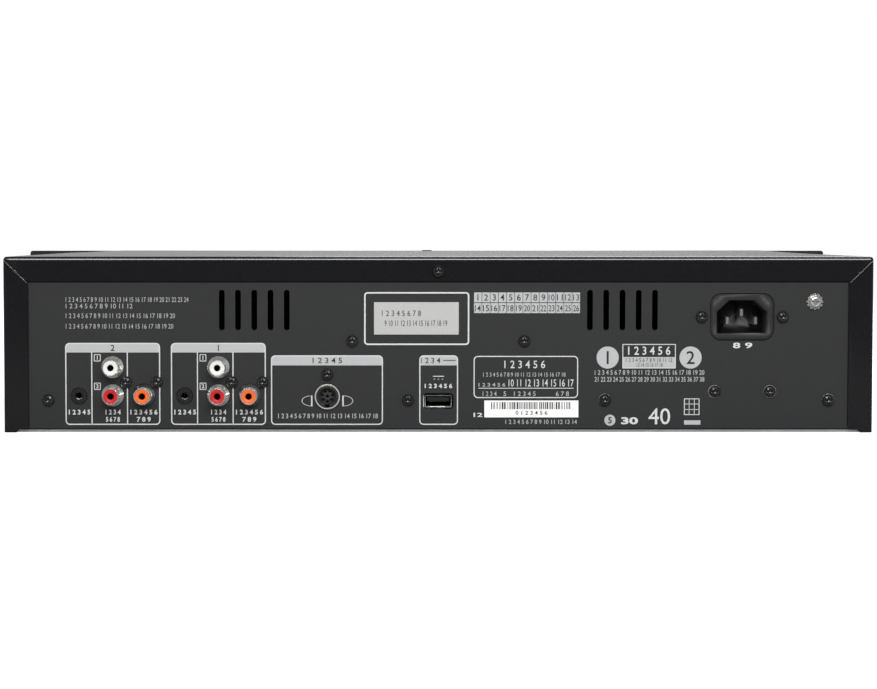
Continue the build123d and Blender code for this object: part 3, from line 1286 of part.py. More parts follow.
def make_traverse_motors(deck):
    """The flat disc motor and the small sled motor, both fixed to the traverse."""
    top = TRAVERSE_Z + TRAVERSE_T
    with BuildPart() as spindle:
        with BuildSketch(Plane.XY.offset(top)):
            with Locations((deck, DISC_Y)):
                Circle(SPINDLE_R)
        extrude(amount=SPINDLE_H)
        fillet(spindle.edges().group_by(Axis.Z)[-1], 0.8)
        with BuildSketch(Plane.XY.offset(top)):
            with Locations((deck, DISC_Y)):
                Circle(SPINDLE_SHAFT_R + POST_GAP)
        extrude(amount=SPINDLE_H, mode=Mode.SUBTRACT)
    with BuildPart() as sled_motor:
        with BuildSketch(Plane.XZ.offset(-SLED_MOTOR_Y0)):
            with Locations((deck + SCREW_AXIS_X, SCREW_AXIS_Z)):
                Circle(SLED_MOTOR_R)
        extrude(amount=-(SLED_MOTOR_Y1 - SLED_MOTOR_Y0))
    return Compound(children=[spindle.part.solid(), sled_motor.part.solid()])


def make_turntable(deck):
    """The turntable with its coned hub and the shaft down into the disc motor."""
    with BuildPart() as table:
        with BuildSketch(Plane.XY.offset(TURNTABLE_Z)):
            with Locations((deck, DISC_Y)):
                Circle(TURNTABLE_R)
        extrude(amount=TURNTABLE_T)
        with BuildSketch(Plane.XY.offset(TURNTABLE_Z + TURNTABLE_T)):
            with Locations((deck, DISC_Y)):
                Circle(HUB_R)
        with BuildSketch(Plane.XY.offset(TURNTABLE_Z + TURNTABLE_T + HUB_H)):
            with Locations((deck, DISC_Y)):
                Circle(HUB_TOP_R)
        loft()
        with BuildSketch(Plane.XY.offset(TRAVERSE_Z + TRAVERSE_T + 0.1)):
            with Locations((deck, DISC_Y)):
                Circle(SPINDLE_SHAFT_R)
        extrude(amount=TURNTABLE_Z - TRAVERSE_Z - TRAVERSE_T - 0.1)
    return table.part


def make_laser_sled(deck):
    """The laser sled: a body on the two rods, a lens tower and an arm over the lead screw."""
    arm_z = SCREW_AXIS_Z + LEAD_R + 0.3
    with BuildPart() as sled:
        with BuildSketch(Plane.XY.offset(SLED_Z)):
            with Locations((deck, SLED_Y)):
                Rectangle(SLED_W, SLED_D)
        extrude(amount=SLED_H)
        with BuildSketch(Plane.XY.offset(SLED_Z + SLED_H)):
            with Locations((deck, SLED_Y)):
                RectangleRounded(18.0, 14.0, 2.0)
        extrude(amount=3.4)
        with BuildSketch(Plane.XY.offset(SLED_Z + SLED_H + 3.4)):
            with Locations((deck, SLED_Y)):
                Circle(2.6)
        extrude(amount=0.8)
        fillet(sled.edges().group_by(Axis.Z)[-1], 0.6)
        with BuildSketch(Plane.XY.offset(arm_z)):
            with Locations((deck + (SLED_W / 2 + SCREW_AXIS_X + 2.5) / 2, SLED_Y)):
                Rectangle(SCREW_AXIS_X + 2.5 - SLED_W / 2, SLED_D - 6.0)
        extrude(amount=2.2)
        with BuildSketch(Plane.XZ.offset(-SLED_Y)):
            with Locations((deck - ROD_X, ROD_Z), (deck + ROD_X, ROD_Z)):
                Circle(ROD_R + 0.06)
        extrude(amount=SLED_D, both=True, mode=Mode.SUBTRACT)
    return sled.part


def make_lead_screw(deck):
    """The lead screw that drives the sled, from the sled motor to the rear post."""
    with BuildPart() as lead:
        with BuildSketch(Plane.XZ.offset(-SLED_MOTOR_Y1 - 0.1)):
            with Locations((deck + SCREW_AXIS_X, SCREW_AXIS_Z)):
                Circle(LEAD_R)
        extrude(amount=-(SLED_OPEN_Y1 + 4.5 - SLED_MOTOR_Y1))
    return lead.part


# ================================================================ build and write
save(make_chassis_pan(), "chassis_pan")
save(make_top_cover(), "top_cover")
save(make_rear_panel(), "rear_panel")
save(make_front_panel(), "front_panel")
save(make_case_screws(), "case_screws")
save(Compound(children=[screw((GROUND_X, REAR_Y, GROUND_Z), (0, 1, 0), True)]), "ground_screw")
save(make_rca_shells(), "rca_shells")
for colour, wanted in (("white", (0, 3)), ("red", (1, 4)), ("orange", (2, 5))):
    save(make_rca_inserts([JACK_POINTS[n] for n in wanted]), f"rca_inserts_{colour}")
save(make_rca_bodies(), "rca_jack_bodies")
save(make_fader_jacks(), "fader_jacks")
save(make_remote_socket(), "remote_socket")
save(
    Compound(
        children=usb_port(REAR_Y, 1, USB_Z, BOARD_TOP)
        + usb_port(PANEL_FRONT_Y, -1, CONTROL_Z, CONTROL_Z)
    ),
    "usb_ports",
)
save(make_ac_inlet(), "ac_inlet")
save(make_inlet_pins(), "ac_inlet_pins")
save(make_board(MAIN_X0, MAIN_X1, MAIN_Y0, BOARD_Y1, MAIN_FIXINGS), "main_board")
save(make_board(POWER_X0, POWER_X1, POWER_Y0, POWER_Y1, POWER_FIXINGS), "power_board")
save(make_standoffs(), "board_standoffs")
save(make_board_chips(), "board_chips")
save(make_transformer(), "transformer")
save(make_capacitors(), "capacitors")
save(make_heat_sink(), "heat_sink")
save(make_brackets(), "mechanism_brackets")
save(make_power_button(), "power_button")
save(make_power_switch(), "power_switch")
save(make_front_board(), "front_board")
save(make_drive_belts(), "drive_belts")
save(make_loading_motors(), "loading_motors")
for number, deck_x in ((1, -DECK_X), (2, DECK_X)):
    save(make_open_button(deck_x), f"open_button_{number}")
    save(make_tray(deck_x), f"tray_{number}")
    save(make_tray_door(deck_x), f"tray_door_{number}")
    save(make_drive_gear(deck_x), f"drive_gear_{number}")
    save(make_pulley_gear(deck_x), f"pulley_gear_{number}")
    save(make_motor_pulley(deck_x), f"motor_pulley_{number}")
    save(make_loader_frame(deck_x), f"loader_frame_{number}")
    save(make_clamp_bridge(deck_x), f"clamp_bridge_{number}")
    save(make_clamp(deck_x), f"disc_clamp_{number}")
    save(make_traverse(deck_x), f"traverse_{number}")
    save(make_guide_rods(deck_x), f"guide_rods_{number}")
    save(make_traverse_motors(deck_x), f"traverse_motors_{number}")
    save(make_turntable(deck_x), f"turntable_{number}")
    save(make_laser_sled(deck_x), f"laser_sled_{number}")
    save(make_lead_screw(deck_x), f"lead_screw_{number}")
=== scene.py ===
"""Dresses a rack-mount player with two disc trays for display.

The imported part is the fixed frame.  Its sheet metal, sockets and mechanism keep their
shapes and get detailed finishes, and the classes below add what the solids leave out:
the sprung crown of the lid, its mitre seams, the printed panel legends, labels, plated
contacts and lamps.  Sizes in the classes are millimetres in the part's own axes: +Z up,
the trays towards -Y, and +X to the right as seen from the front.
"""

import json
import logging
import math
import random
from dataclasses import dataclass, field, replace
from enum import Enum
from typing import Callable, Iterable, Sequence

import bmesh
import bpy
from mathutils import Matrix, Vector

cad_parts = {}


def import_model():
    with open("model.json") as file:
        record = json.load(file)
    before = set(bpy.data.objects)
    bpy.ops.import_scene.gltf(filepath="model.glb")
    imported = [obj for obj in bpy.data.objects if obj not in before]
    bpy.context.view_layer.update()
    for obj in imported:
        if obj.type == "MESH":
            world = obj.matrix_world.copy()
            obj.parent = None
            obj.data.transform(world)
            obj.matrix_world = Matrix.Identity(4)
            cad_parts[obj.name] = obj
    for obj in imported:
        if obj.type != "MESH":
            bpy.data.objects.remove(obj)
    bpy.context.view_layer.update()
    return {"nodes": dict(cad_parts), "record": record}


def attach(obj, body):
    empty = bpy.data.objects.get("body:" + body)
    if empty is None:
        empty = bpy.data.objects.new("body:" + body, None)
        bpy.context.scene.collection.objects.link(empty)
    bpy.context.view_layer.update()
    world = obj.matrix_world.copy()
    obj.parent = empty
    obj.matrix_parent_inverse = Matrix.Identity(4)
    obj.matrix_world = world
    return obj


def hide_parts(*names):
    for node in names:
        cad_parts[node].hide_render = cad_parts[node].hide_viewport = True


LOG = logging.getLogger("disc_player")
MM = 0.001

Colour = tuple[float, float, float]
Point = tuple[float, float]
BodyName = str
Node = bpy.types.Node
Socket = bpy.types.NodeSocket
Outputs = dict[str, Socket]
Pattern = tuple[Socket, Socket, object]


class Facing(Enum):
    """Which way a printed face looks."""

    REAR = 1
    FRONT = -1


class Align(Enum):
    """Where a line of print sits against its point."""

    LEFT = 0.0
    MIDDLE = 0.5


# ---------------------------------------------------------------- shader building
class Bench:
    """Places and joins nodes in one material or node group."""

    def __init__(self, tree: bpy.types.NodeTree) -> None:
        """Keep the tree to work in."""
        self.tree = tree

    def feed(self, socket: Socket, value: object) -> None:
        """Link a socket to another one, or set its own value."""
        if isinstance(value, Socket):
            self.tree.links.new(value, socket)
        else:
            socket.default_value = value

    def node(
        self, kind: str, inputs: dict[str | int, object] | None = None, **settings: object
    ) -> Node:
        """Add one node.

        Args:
            kind: the node's type name.
            inputs: a value or a source socket for each named input.
            settings: the node's own options.

        Returns:
            The new node.
        """
        made = self.tree.nodes.new(kind)
        for name, value in settings.items():
            setattr(made, name, value)
        for name, value in (inputs or {}).items():
            self.feed(made.inputs[name], value)
        return made

    def maths(self, operation: str, *values: object) -> Socket:
        """Work out one sum.

        Args:
            operation: the Math node's operation.
            values: numbers or sockets, in order.

        Returns:
            The result's socket.
        """
        made = self.node("ShaderNodeMath", dict(enumerate(values)), operation=operation)
        return made.outputs[0]

    def remap(
        self, value: object, low: object, high: object, to_low: object, to_high: object
    ) -> Socket:
        """Stretch a value from one range to another, held at the ends.

        Args:
            value: the socket to read.
            low: what becomes to_low.
            high: what becomes to_high.
            to_low: the result at low.
            to_high: the result at high.

        Returns:
            The result's socket.
        """
        inputs = dict(enumerate((value, low, high, to_low, to_high)))
        return self.node("ShaderNodeMapRange", inputs, clamp=True).outputs[0]

    def tint(self, share: object, first: object, second: object) -> Socket:
        """Mix two colours.

        Args:
            share: how much of the second shows.
            first: a colour or its socket.
            second: a colour or its socket.

        Returns:
            The mixed colour's socket.
        """
        made = self.node("ShaderNodeMix", data_type="RGBA")
        for index, value in ((0, share), (6, first), (7, second)):
            if isinstance(value, tuple) and len(value) == 3:
                value = (*value, 1.0)
            self.feed(made.inputs[index], value)
        return made.outputs[2]

    def place(self) -> Socket:
        """The point in the part's own axes, in metres."""
        return self.node("ShaderNodeTexCoord").outputs["Object"]

    def noise(self, at: object, scale: object, detail: float = 2.0) -> Socket:
        """Smooth noise of about 0 to 1.

        Args:
            at: the point's socket.
            scale: features per metre.
            detail: octaves.

        Returns:
            The value's socket.
        """
        inputs = {"Vector": at, "Scale": scale, "Detail": detail}
        return self.node("ShaderNodeTexNoise", inputs).outputs[0]


class Effects:
    """The node groups that several finishes share, each built once."""

    def __init__(self) -> None:
        """Build the four groups."""
        self.grain = self._group(
            "Surface_grain",
            {"Scale": 1000.0, "Along": (1.0, 1.0, 1.0)},
            ("Height",),
            self._wire_grain,
        )
        self.wear = self._group(
            "Edge_wear", {"Radius": 0.0004, "Scale": 900.0}, ("Mask",), self._wire_wear
        )
        self.smudge = self._group(
            "Handling_marks", {"Scale": 22.0}, ("Film", "Scuff"), self._wire_smudge
        )
        self.dust = self._group("Settled_dust", {"Scale": 260.0}, ("Mask",), self._wire_dust)

    def _group(
        self,
        name: str,
        inputs: dict[str, object],
        outputs: Sequence[str],
        wire: Callable[[Bench, Node], Outputs],
    ) -> bpy.types.NodeTree:
        """Make one group with named sockets.

        Args:
            name: the group's name.
            inputs: each input with its usual value.
            outputs: the names of its outputs, all plain values.
            wire: fills the group and returns a socket for each output.

        Returns:
            The group's tree.
        """
        tree = bpy.data.node_groups.new(name, "ShaderNodeTree")
        for label, value in inputs.items():
            kind = "NodeSocketVector" if isinstance(value, tuple) else "NodeSocketFloat"
            socket = tree.interface.new_socket(label, in_out="INPUT", socket_type=kind)
            socket.default_value = value
        for label in outputs:
            tree.interface.new_socket(label, in_out="OUTPUT", socket_type="NodeSocketFloat")
        bench = Bench(tree)
        entry = bench.node("NodeGroupInput")
        bench.node("NodeGroupOutput", dict(wire(bench, entry)))
        return tree

    @staticmethod
    def _wire_grain(bench: Bench, entry: Node) -> Outputs:
        """Fine surface texture, as a soft height."""
        inputs = {0: bench.place(), 1: entry.outputs["Along"]}
        at = bench.node("ShaderNodeVectorMath", inputs, operation="MULTIPLY").outputs[0]
        scale = entry.outputs["Scale"]
        broad = bench.noise(at, scale, 3.0)
        fine = bench.noise(at, bench.maths("MULTIPLY", scale, 3.7), 1.0)
        return {"Height": bench.maths("ADD", bench.maths("MULTIPLY", fine, 0.35), broad)}

    @staticmethod
    def _wire_wear(bench: Bench, entry: Node) -> Outputs:
        """Rubbed edges: where the rounded normal leaves the flat one, broken up by noise."""
        soft = bench.node("ShaderNodeBevel", {"Radius": entry.outputs["Radius"]}, samples=4)
        flat = bench.node("ShaderNodeNewGeometry").outputs["Normal"]
        inputs = {0: soft.outputs[0], 1: flat}
        turn = bench.node("ShaderNodeVectorMath", inputs, operation="DOT_PRODUCT")
        edge = bench.remap(turn.outputs["Value"], 0.995, 0.90, 0.0, 1.0)
        patch = bench.noise(bench.place(), entry.outputs["Scale"], 4.0)
        return {"Mask": bench.maths("MULTIPLY", edge, bench.remap(patch, 0.42, 0.6, 0.0, 1.0))}

    @staticmethod
    def _wire_smudge(bench: Bench, entry: Node) -> Outputs:
        """Cloudy film left by hands, and fine scuffs that run one way."""
        at = bench.place()
        scale = entry.outputs["Scale"]
        film = bench.remap(bench.noise(at, scale, 5.0), 0.35, 0.68, 0.0, 1.0)
        stretch = bench.node(
            "ShaderNodeVectorMath", {0: at, 1: (1.0, 9.0, 14.0)}, operation="MULTIPLY"
        )
        lines = bench.noise(stretch.outputs[0], bench.maths("MULTIPLY", scale, 9.0), 2.0)
        return {"Film": film, "Scuff": bench.remap(lines, 0.66, 0.74, 0.0, 1.0)}

    @staticmethod
    def _wire_dust(bench: Bench, entry: Node) -> Outputs:
        """Fine dust on what faces up."""
        flat = bench.node("ShaderNodeNewGeometry").outputs["Normal"]
        up = bench.node("ShaderNodeSeparateXYZ", {0: flat}).outputs["Z"]
        lying = bench.remap(up, 0.5, 0.95, 0.0, 1.0)
        specks = bench.noise(bench.place(), entry.outputs["Scale"], 6.0)
        return {"Mask": bench.maths("MULTIPLY", lying, bench.remap(specks, 0.4, 0.75, 0.0, 1.0))}


# ---------------------------------------------------------------- finishes
@dataclass(frozen=True)
class Finish:
    """A surface finish: its colour, how it shines, its grain and how it has worn."""

    name: str
    colour: Colour
    mottled: Colour
    roughness: float
    grain: float = 0.5
    depth: float = 0.012
    along: tuple[float, float, float] = (1.0, 1.0, 1.0)
    metallic: float = 0.0
    film: float = 0.06
    scuffs: float = 0.02
    worn: Colour = (0.30, 0.30, 0.31)
    wear: float = 0.0
    edge: float = 0.3
    dust: float = 0.0
    coat: float = 0.0
    coat_roughness: float = 0.2
    specular: float = 0.5
    glow: float = 0.0

    def material(self, effects: Effects) -> bpy.types.Material:
        """The finish as a material, made once.

        Args:
            effects: the shared node groups.

        Returns:
            The material.
        """
        found = bpy.data.materials.get(self.name)
        if found is not None:
            return found
        made = bpy.data.materials.new(self.name)
        made.use_nodes = True
        bench = Bench(made.node_tree)
        shader = made.node_tree.nodes["Principled BSDF"]
        made.diffuse_color = (*self.colour, 1.0)
        grain = bench.node("ShaderNodeGroup", node_tree=effects.grain)
        grain.inputs["Scale"].default_value = 1.0 / (self.grain * MM)
        grain.inputs["Along"].default_value = self.along
        marks = bench.node("ShaderNodeGroup", node_tree=effects.smudge)
        height = grain.outputs["Height"]
        cloud = bench.remap(height, 0.45, 0.95, 0.0, 1.0)
        colour = bench.tint(cloud, self.colour, self.mottled)
        colour, height, gloss = self.pattern(bench, colour, height)
        rough = bench.maths("ADD", bench.maths("MULTIPLY", cloud, 0.05), self.roughness)
        rough = bench.maths("ADD", rough, gloss)
        film = bench.maths("MULTIPLY", marks.outputs["Film"], self.film)
        rough = bench.maths("ADD", rough, film)
        if self.dust:
            settled = bench.node("ShaderNodeGroup", node_tree=effects.dust).outputs["Mask"]
            share = bench.maths("MULTIPLY", settled, self.dust)
            colour = bench.tint(share, colour, (0.42, 0.41, 0.39))
            rough = bench.maths("ADD", rough, bench.maths("MULTIPLY", share, 0.4))
        if self.wear:
            rubbed = bench.node("ShaderNodeGroup", node_tree=effects.wear)
            rubbed.inputs["Radius"].default_value = self.edge * MM
            share = bench.maths("MULTIPLY", rubbed.outputs["Mask"], self.wear)
            colour = bench.tint(share, colour, self.worn)
        scuff = bench.maths("MULTIPLY", marks.outputs["Scuff"], self.scuffs)
        colour = bench.tint(scuff, colour, self.worn)
        inputs = {"Height": height, "Distance": self.depth * MM, "Strength": 1.0}
        soft = bench.node("ShaderNodeBevel", {"Radius": self.edge * MM}, samples=4)
        bump = bench.node("ShaderNodeBump", {**inputs, "Normal": soft.outputs[0]})
        bench.feed(shader.inputs["Base Color"], colour)
        bench.feed(shader.inputs["Roughness"], rough)
        bench.feed(shader.inputs["Normal"], bump.outputs[0])
        shader.inputs["Metallic"].default_value = self.metallic
        shader.inputs["Specular IOR Level"].default_value = self.specular
        shader.inputs["Coat Weight"].default_value = self.coat
        shader.inputs["Coat Roughness"].default_value = self.coat_roughness
        if self.glow:
            bench.feed(shader.inputs["Emission Color"], colour)
            shader.inputs["Emission Strength"].default_value = self.glow
        return made

    def pattern(self, bench: Bench, colour: Socket, height: Socket) -> Pattern:
        """What this finish adds to its grain; a plain one adds nothing.

        Args:
            bench: where its nodes go.
            colour: the colour so far.
            height: the bump height so far.

        Returns:
            The colour and height to use, and what to add to the roughness.
        """
        return colour, height, 0.0


@dataclass(frozen=True)
class SpangledZinc(Finish):
    """Bare galvanised sheet, with its crystals."""

    crystal: float = 7.0

    def pattern(self, bench: Bench, colour: Socket, height: Socket) -> Pattern:
        """Facets of slightly different tone and gloss, as in Finish.pattern."""
        inputs = {"Vector": bench.place(), "Scale": 1.0 / (self.crystal * MM)}
        cells = bench.node("ShaderNodeTexVoronoi", inputs)
        tone = bench.node("ShaderNodeSeparateColor", {0: cells.outputs["Color"]}).outputs[0]
        share = bench.maths("MULTIPLY", tone, 0.35)
        gloss = bench.maths("MULTIPLY", tone, 0.14)
        return bench.tint(share, colour, (0.42, 0.43, 0.45)), height, gloss


@dataclass(frozen=True)
class SolderMask(Finish):
    """A lacquered circuit board, with tracks and pads under the lacquer."""

    track: float = 2.2

    def pattern(self, bench: Bench, colour: Socket, height: Socket) -> Pattern:
        """Tracks as the edges of square cells, pads at their middles, as in Finish.pattern."""
        inputs = {"Vector": bench.place(), "Scale": 1.0 / (self.track * MM), "Randomness": 0.6}
        cells = bench.node("ShaderNodeTexVoronoi", inputs, distance="CHEBYCHEV")
        away = cells.outputs["Distance"]
        track = bench.remap(away, 0.42, 0.45, 0.0, 1.0)
        pad = bench.remap(away, 0.16, 0.12, 0.0, 1.0)
        lit = bench.tint(bench.maths("MULTIPLY", track, 0.5), colour, (0.10, 0.30, 0.15))
        raised = bench.maths("ADD", height, bench.maths("MULTIPLY", track, 1.5))
        return bench.tint(pad, lit, (0.62, 0.60, 0.55)), raised, 0.0


@dataclass(frozen=True)
class RingedMetal(Finish):
    """Metal or moulding with a fine ridge repeated along one axis, such as a thread."""

    pitch: float = 1.0
    axis: str = "Y"

    def pattern(self, bench: Bench, colour: Socket, height: Socket) -> Pattern:
        """A ridge for every pitch, darker in the valley, as in Finish.pattern."""
        inputs = {"Vector": bench.place(), "Scale": math.tau / (20.0 * self.pitch * MM)}
        wave = bench.node("ShaderNodeTexWave", inputs, bands_direction=self.axis)
        ridge = wave.outputs["Fac"]
        dark = bench.maths("MULTIPLY", bench.maths("SUBTRACT", 1.0, ridge), 0.45)
        tall = bench.maths("ADD", height, bench.maths("MULTIPLY", ridge, 12.0))
        return bench.tint(dark, colour, (0.02, 0.02, 0.02)), tall, 0.0


STEEL_WORN: Colour = (0.34, 0.34, 0.35)

LID_PAINT = Finish(
    "Lid_satin_black", (0.008, 0.0082, 0.009), (0.012, 0.0123, 0.0135), 0.13, grain=0.75,
    depth=0.002, film=0.012, scuffs=0.004, worn=STEEL_WORN, wear=0.06, edge=0.2, specular=0.3,
)
LID_ROLL = replace(LID_PAINT, name="Lid_rolled_edge", specular=1.0)
PANEL_PAINT = Finish(
    "Rear_panel_grey", (0.026, 0.0265, 0.0275), (0.032, 0.0327, 0.034), 0.44, grain=0.45,
    depth=0.006, film=0.05, scuffs=0.015, worn=(0.18, 0.18, 0.18), edge=0.12, specular=0.2,
)
BARE_SHEET = SpangledZinc(
    "Bare_zinc_sheet", (0.82, 0.83, 0.85), (0.74, 0.75, 0.77), 0.30, grain=1.4, depth=0.008,
    metallic=0.2, film=0.10, edge=0.25,
)
FASCIA = Finish(
    "Brushed_black_fascia", (0.022, 0.022, 0.024), (0.036, 0.036, 0.038), 0.32, grain=0.35,
    along=(0.02, 1.0, 1.0), depth=0.006, metallic=0.55, film=0.06, worn=STEEL_WORN, wear=0.22,
    edge=0.35,
)
SCREW_BLACK = Finish(
    "Black_oxide_screw", (0.006, 0.006, 0.0065), (0.014, 0.014, 0.015), 0.16, grain=0.4,
    depth=0.001, film=0.02, scuffs=0.0, edge=0.12, coat=0.6, coat_roughness=0.06,
)
PLATED_SCREW = Finish(
    "Nickel_plated_screw", (0.90, 0.89, 0.86), (0.62, 0.61, 0.58), 0.10, grain=1.1,
    depth=0.010, metallic=0.75, film=0.12, worn=(0.25, 0.24, 0.22), wear=0.25, edge=0.15,
)
NICKEL = Finish(
    "Bright_nickel", (0.90, 0.88, 0.84), (0.82, 0.80, 0.76), 0.09, grain=0.9, depth=0.002,
    metallic=0.8, film=0.06, edge=0.12,
)
# Darkened nickel: painted shade on the data ports' shells and the mains pins, and the dull seats of
# the digital sockets.
DULL_AND_SHADED_NICKEL = Finish(
    "Dull_and_shaded_nickel", (0.36, 0.35, 0.34), (0.28, 0.27, 0.26), 0.30, grain=0.7, depth=0.004,
    metallic=1.0, film=0.16, edge=0.15,
)
BRASS = Finish(
    "Plated_brass", (0.78, 0.66, 0.42), (0.66, 0.54, 0.32), 0.22, grain=0.6, depth=0.004,
    metallic=1.0, film=0.12, edge=0.15,
)
BLACK_MOULDING = Finish(
    "Moulded_black", (0.014, 0.014, 0.015), (0.024, 0.024, 0.025), 0.42, grain=0.28,
    depth=0.010, film=0.05, worn=(0.10, 0.10, 0.10), wear=0.25, edge=0.22,
)
WHITE_INSERT = Finish(
    "Moulded_white", (0.90, 0.885, 0.84), (0.84, 0.825, 0.78), 0.30, grain=0.5, depth=0.005,
    worn=(0.5, 0.5, 0.48), edge=0.2,
)
RED_INSERT = Finish(
    "Moulded_red", (0.66, 0.016, 0.022), (0.54, 0.012, 0.016), 0.30, grain=0.5, depth=0.005,
    worn=(0.3, 0.05, 0.05), edge=0.2,
)
ORANGE_INSERT = Finish(
    "Moulded_orange", (1.0, 0.17, 0.022), (0.88, 0.13, 0.016), 0.32, grain=0.5, depth=0.005,
    worn=(0.5, 0.15, 0.05), edge=0.2,
)
# Painted shade: near black on the walls of bores, shells and gaps, where shade falls.
RECESS_SHADE = Finish(
    "Painted_recess_shade", (0.004, 0.004, 0.004), (0.007, 0.007, 0.007), 0.55, grain=0.4,
    depth=0.004, edge=0.05, specular=0.2,
)
# Its strong edge wear is partly real wear and partly a painted highlight along the recess's lower
# edge.
INLET_MOULDING = Finish(
    "Inlet_moulding_lit_edges", (0.024, 0.024, 0.025), (0.034, 0.034, 0.035), 0.48, grain=0.35,
    depth=0.010, film=0.08, worn=(0.13, 0.13, 0.13), wear=0.4, edge=0.3, specular=0.4,
)
# Black moulding of the fader jacks, also used as painted shade inside the data ports and the mains
# inlet's recess.
JACK_BLACK_AND_SHADE = Finish(
    "Jack_black_and_painted_shade", (0.006, 0.006, 0.0065), (0.012, 0.012, 0.012), 0.30, grain=0.35,
    depth=0.006, film=0.08, worn=(0.10, 0.10, 0.10), wear=0.45, edge=0.2,
)
BOARD_GREEN = SolderMask(
    "Green_solder_mask", (0.015, 0.105, 0.045), (0.020, 0.125, 0.055), 0.24, grain=1.2,
    depth=0.010, edge=0.1, coat=0.5,
)
CHIP_BLACK = Finish(
    "Moulded_chip", (0.020, 0.020, 0.021), (0.034, 0.034, 0.035), 0.55, grain=0.2,
    depth=0.006, edge=0.15,
)
LAMINATIONS = RingedMetal(
    "Varnished_laminations", (0.20, 0.17, 0.13), (0.13, 0.11, 0.09), 0.45, grain=0.8,
    depth=0.004, metallic=0.6, pitch=0.7, axis="Y",
)
SLEEVE = Finish(
    "Shrink_sleeve", (0.018, 0.020, 0.034), (0.026, 0.028, 0.044), 0.20, grain=2.5,
    depth=0.020, edge=0.3, coat=0.6,
)
SPUN_ALUMINIUM = Finish(
    "Turned_aluminium", (0.70, 0.71, 0.72), (0.58, 0.59, 0.60), 0.28, grain=0.4,
    along=(1.0, 1.0, 0.05), depth=0.006, metallic=1.0, film=0.08, edge=0.2,
)
TRAY_BLACK = Finish(
    "Tray_fine_spark", (0.020, 0.020, 0.022), (0.034, 0.034, 0.037), 0.50, grain=0.25,
    depth=0.014, film=0.04, worn=(0.09, 0.09, 0.09), wear=0.3, edge=0.3,
)
FRAME_BLACK = Finish(
    "Frame_moulding", (0.026, 0.026, 0.027), (0.040, 0.040, 0.042), 0.52, grain=0.35,
    depth=0.014, edge=0.25,
)
ACETAL = Finish(
    "Natural_acetal", (0.80, 0.78, 0.71), (0.70, 0.68, 0.60), 0.36, grain=1.1, depth=0.006,
    worn=(0.55, 0.52, 0.45), wear=0.3, edge=0.15,
)
RUBBER = Finish(
    "Belt_rubber", (0.012, 0.012, 0.012), (0.022, 0.022, 0.022), 0.68, grain=0.3,
    depth=0.020, edge=0.15, dust=0.08,
)
MOTOR_CAN = Finish(
    "Plated_motor_can", (0.60, 0.60, 0.61), (0.48, 0.48, 0.49), 0.24, grain=0.5,
    along=(1.0, 1.0, 0.15), depth=0.005, metallic=1.0, film=0.12, edge=0.25,
)
GROUND_ROD = Finish(
    "Ground_steel_rod", (0.74, 0.74, 0.75), (0.62, 0.62, 0.63), 0.10, grain=0.2,
    along=(1.0, 0.1, 1.0), depth=0.002, metallic=1.0, film=0.06, edge=0.1,
)
LEAD_THREAD = RingedMetal(
    "Lead_screw_thread", (0.66, 0.66, 0.67), (0.55, 0.55, 0.56), 0.20, grain=0.4,
    depth=0.012, metallic=1.0, pitch=1.0, axis="Y",
)
SLED_GREY = Finish(
    "Die_cast_sled", (0.20, 0.20, 0.21), (0.27, 0.27, 0.28), 0.42, grain=0.4, depth=0.014,
    metallic=0.7, edge=0.2,
)
LENS = Finish(
    "Laser_lens", (0.10, 0.16, 0.30), (0.16, 0.10, 0.30), 0.05, grain=2.0, depth=0.001,
    metallic=0.5, edge=0.1, coat=1.0, coat_roughness=0.03,
)
BUTTON_GREY = Finish(
    "Satin_button", (0.115, 0.117, 0.122), (0.150, 0.152, 0.158), 0.38, grain=0.3,
    depth=0.008, film=0.10, worn=(0.3, 0.3, 0.3), wear=0.4, edge=0.25,
)
LAMP_GREEN = Finish(
    "Lamp_green", (0.05, 0.42, 0.12), (0.08, 0.60, 0.18), 0.20, grain=0.6, depth=0.003,
    edge=0.3, coat=0.8, glow=0.7,
)
WHITE_INK = Finish(
    "Screen_print_white", (0.70, 0.71, 0.71), (0.58, 0.59, 0.59), 0.55, grain=0.16,
    depth=0.006, film=0.08, worn=(0.30, 0.30, 0.30), scuffs=0.25, edge=0.02,
)
PALE_INK = Finish(
    "Screen_print_pale", (0.49, 0.495, 0.50), (0.45, 0.455, 0.46), 0.55, grain=0.2,
    depth=0.006, film=0.08, worn=(0.45, 0.45, 0.45), scuffs=0.10, edge=0.02,
)
THIN_INK = Finish(
    "Screen_print_thin", (0.47, 0.475, 0.48), (0.36, 0.365, 0.37), 0.55, grain=0.16,
    depth=0.004, film=0.08, worn=(0.22, 0.22, 0.22), scuffs=0.25, edge=0.02,
)
DARK_INK = Finish(
    "Screen_print_dark", (0.008, 0.008, 0.009), (0.014, 0.014, 0.015), 0.50, grain=0.2,
    depth=0.004, edge=0.02,
)
LABEL_STOCK = Finish(
    "Label_stock", (0.50, 0.50, 0.495), (0.46, 0.46, 0.455), 0.48, grain=0.5, depth=0.006,
    film=0.10, worn=(0.6, 0.6, 0.58), scuffs=0.08, edge=0.05,
)
WHITE_STOCK = Finish(
    "White_label_stock", (0.97, 0.97, 0.96), (0.93, 0.93, 0.92), 0.42, grain=0.5, depth=0.004,
    film=0.08, worn=(0.8, 0.8, 0.78), scuffs=0.06, edge=0.05,
)
SCRAPED = Finish(
    "Scraped_bare_steel", (0.72, 0.72, 0.72), (0.40, 0.40, 0.40), 0.28, grain=0.25,
    depth=0.012, metallic=1.0, edge=0.05,
)
CONTACT = Finish(
    "Sprung_contact", (0.86, 0.72, 0.42), (0.74, 0.60, 0.34), 0.18, grain=0.4, depth=0.003,
    metallic=1.0, edge=0.08,
)

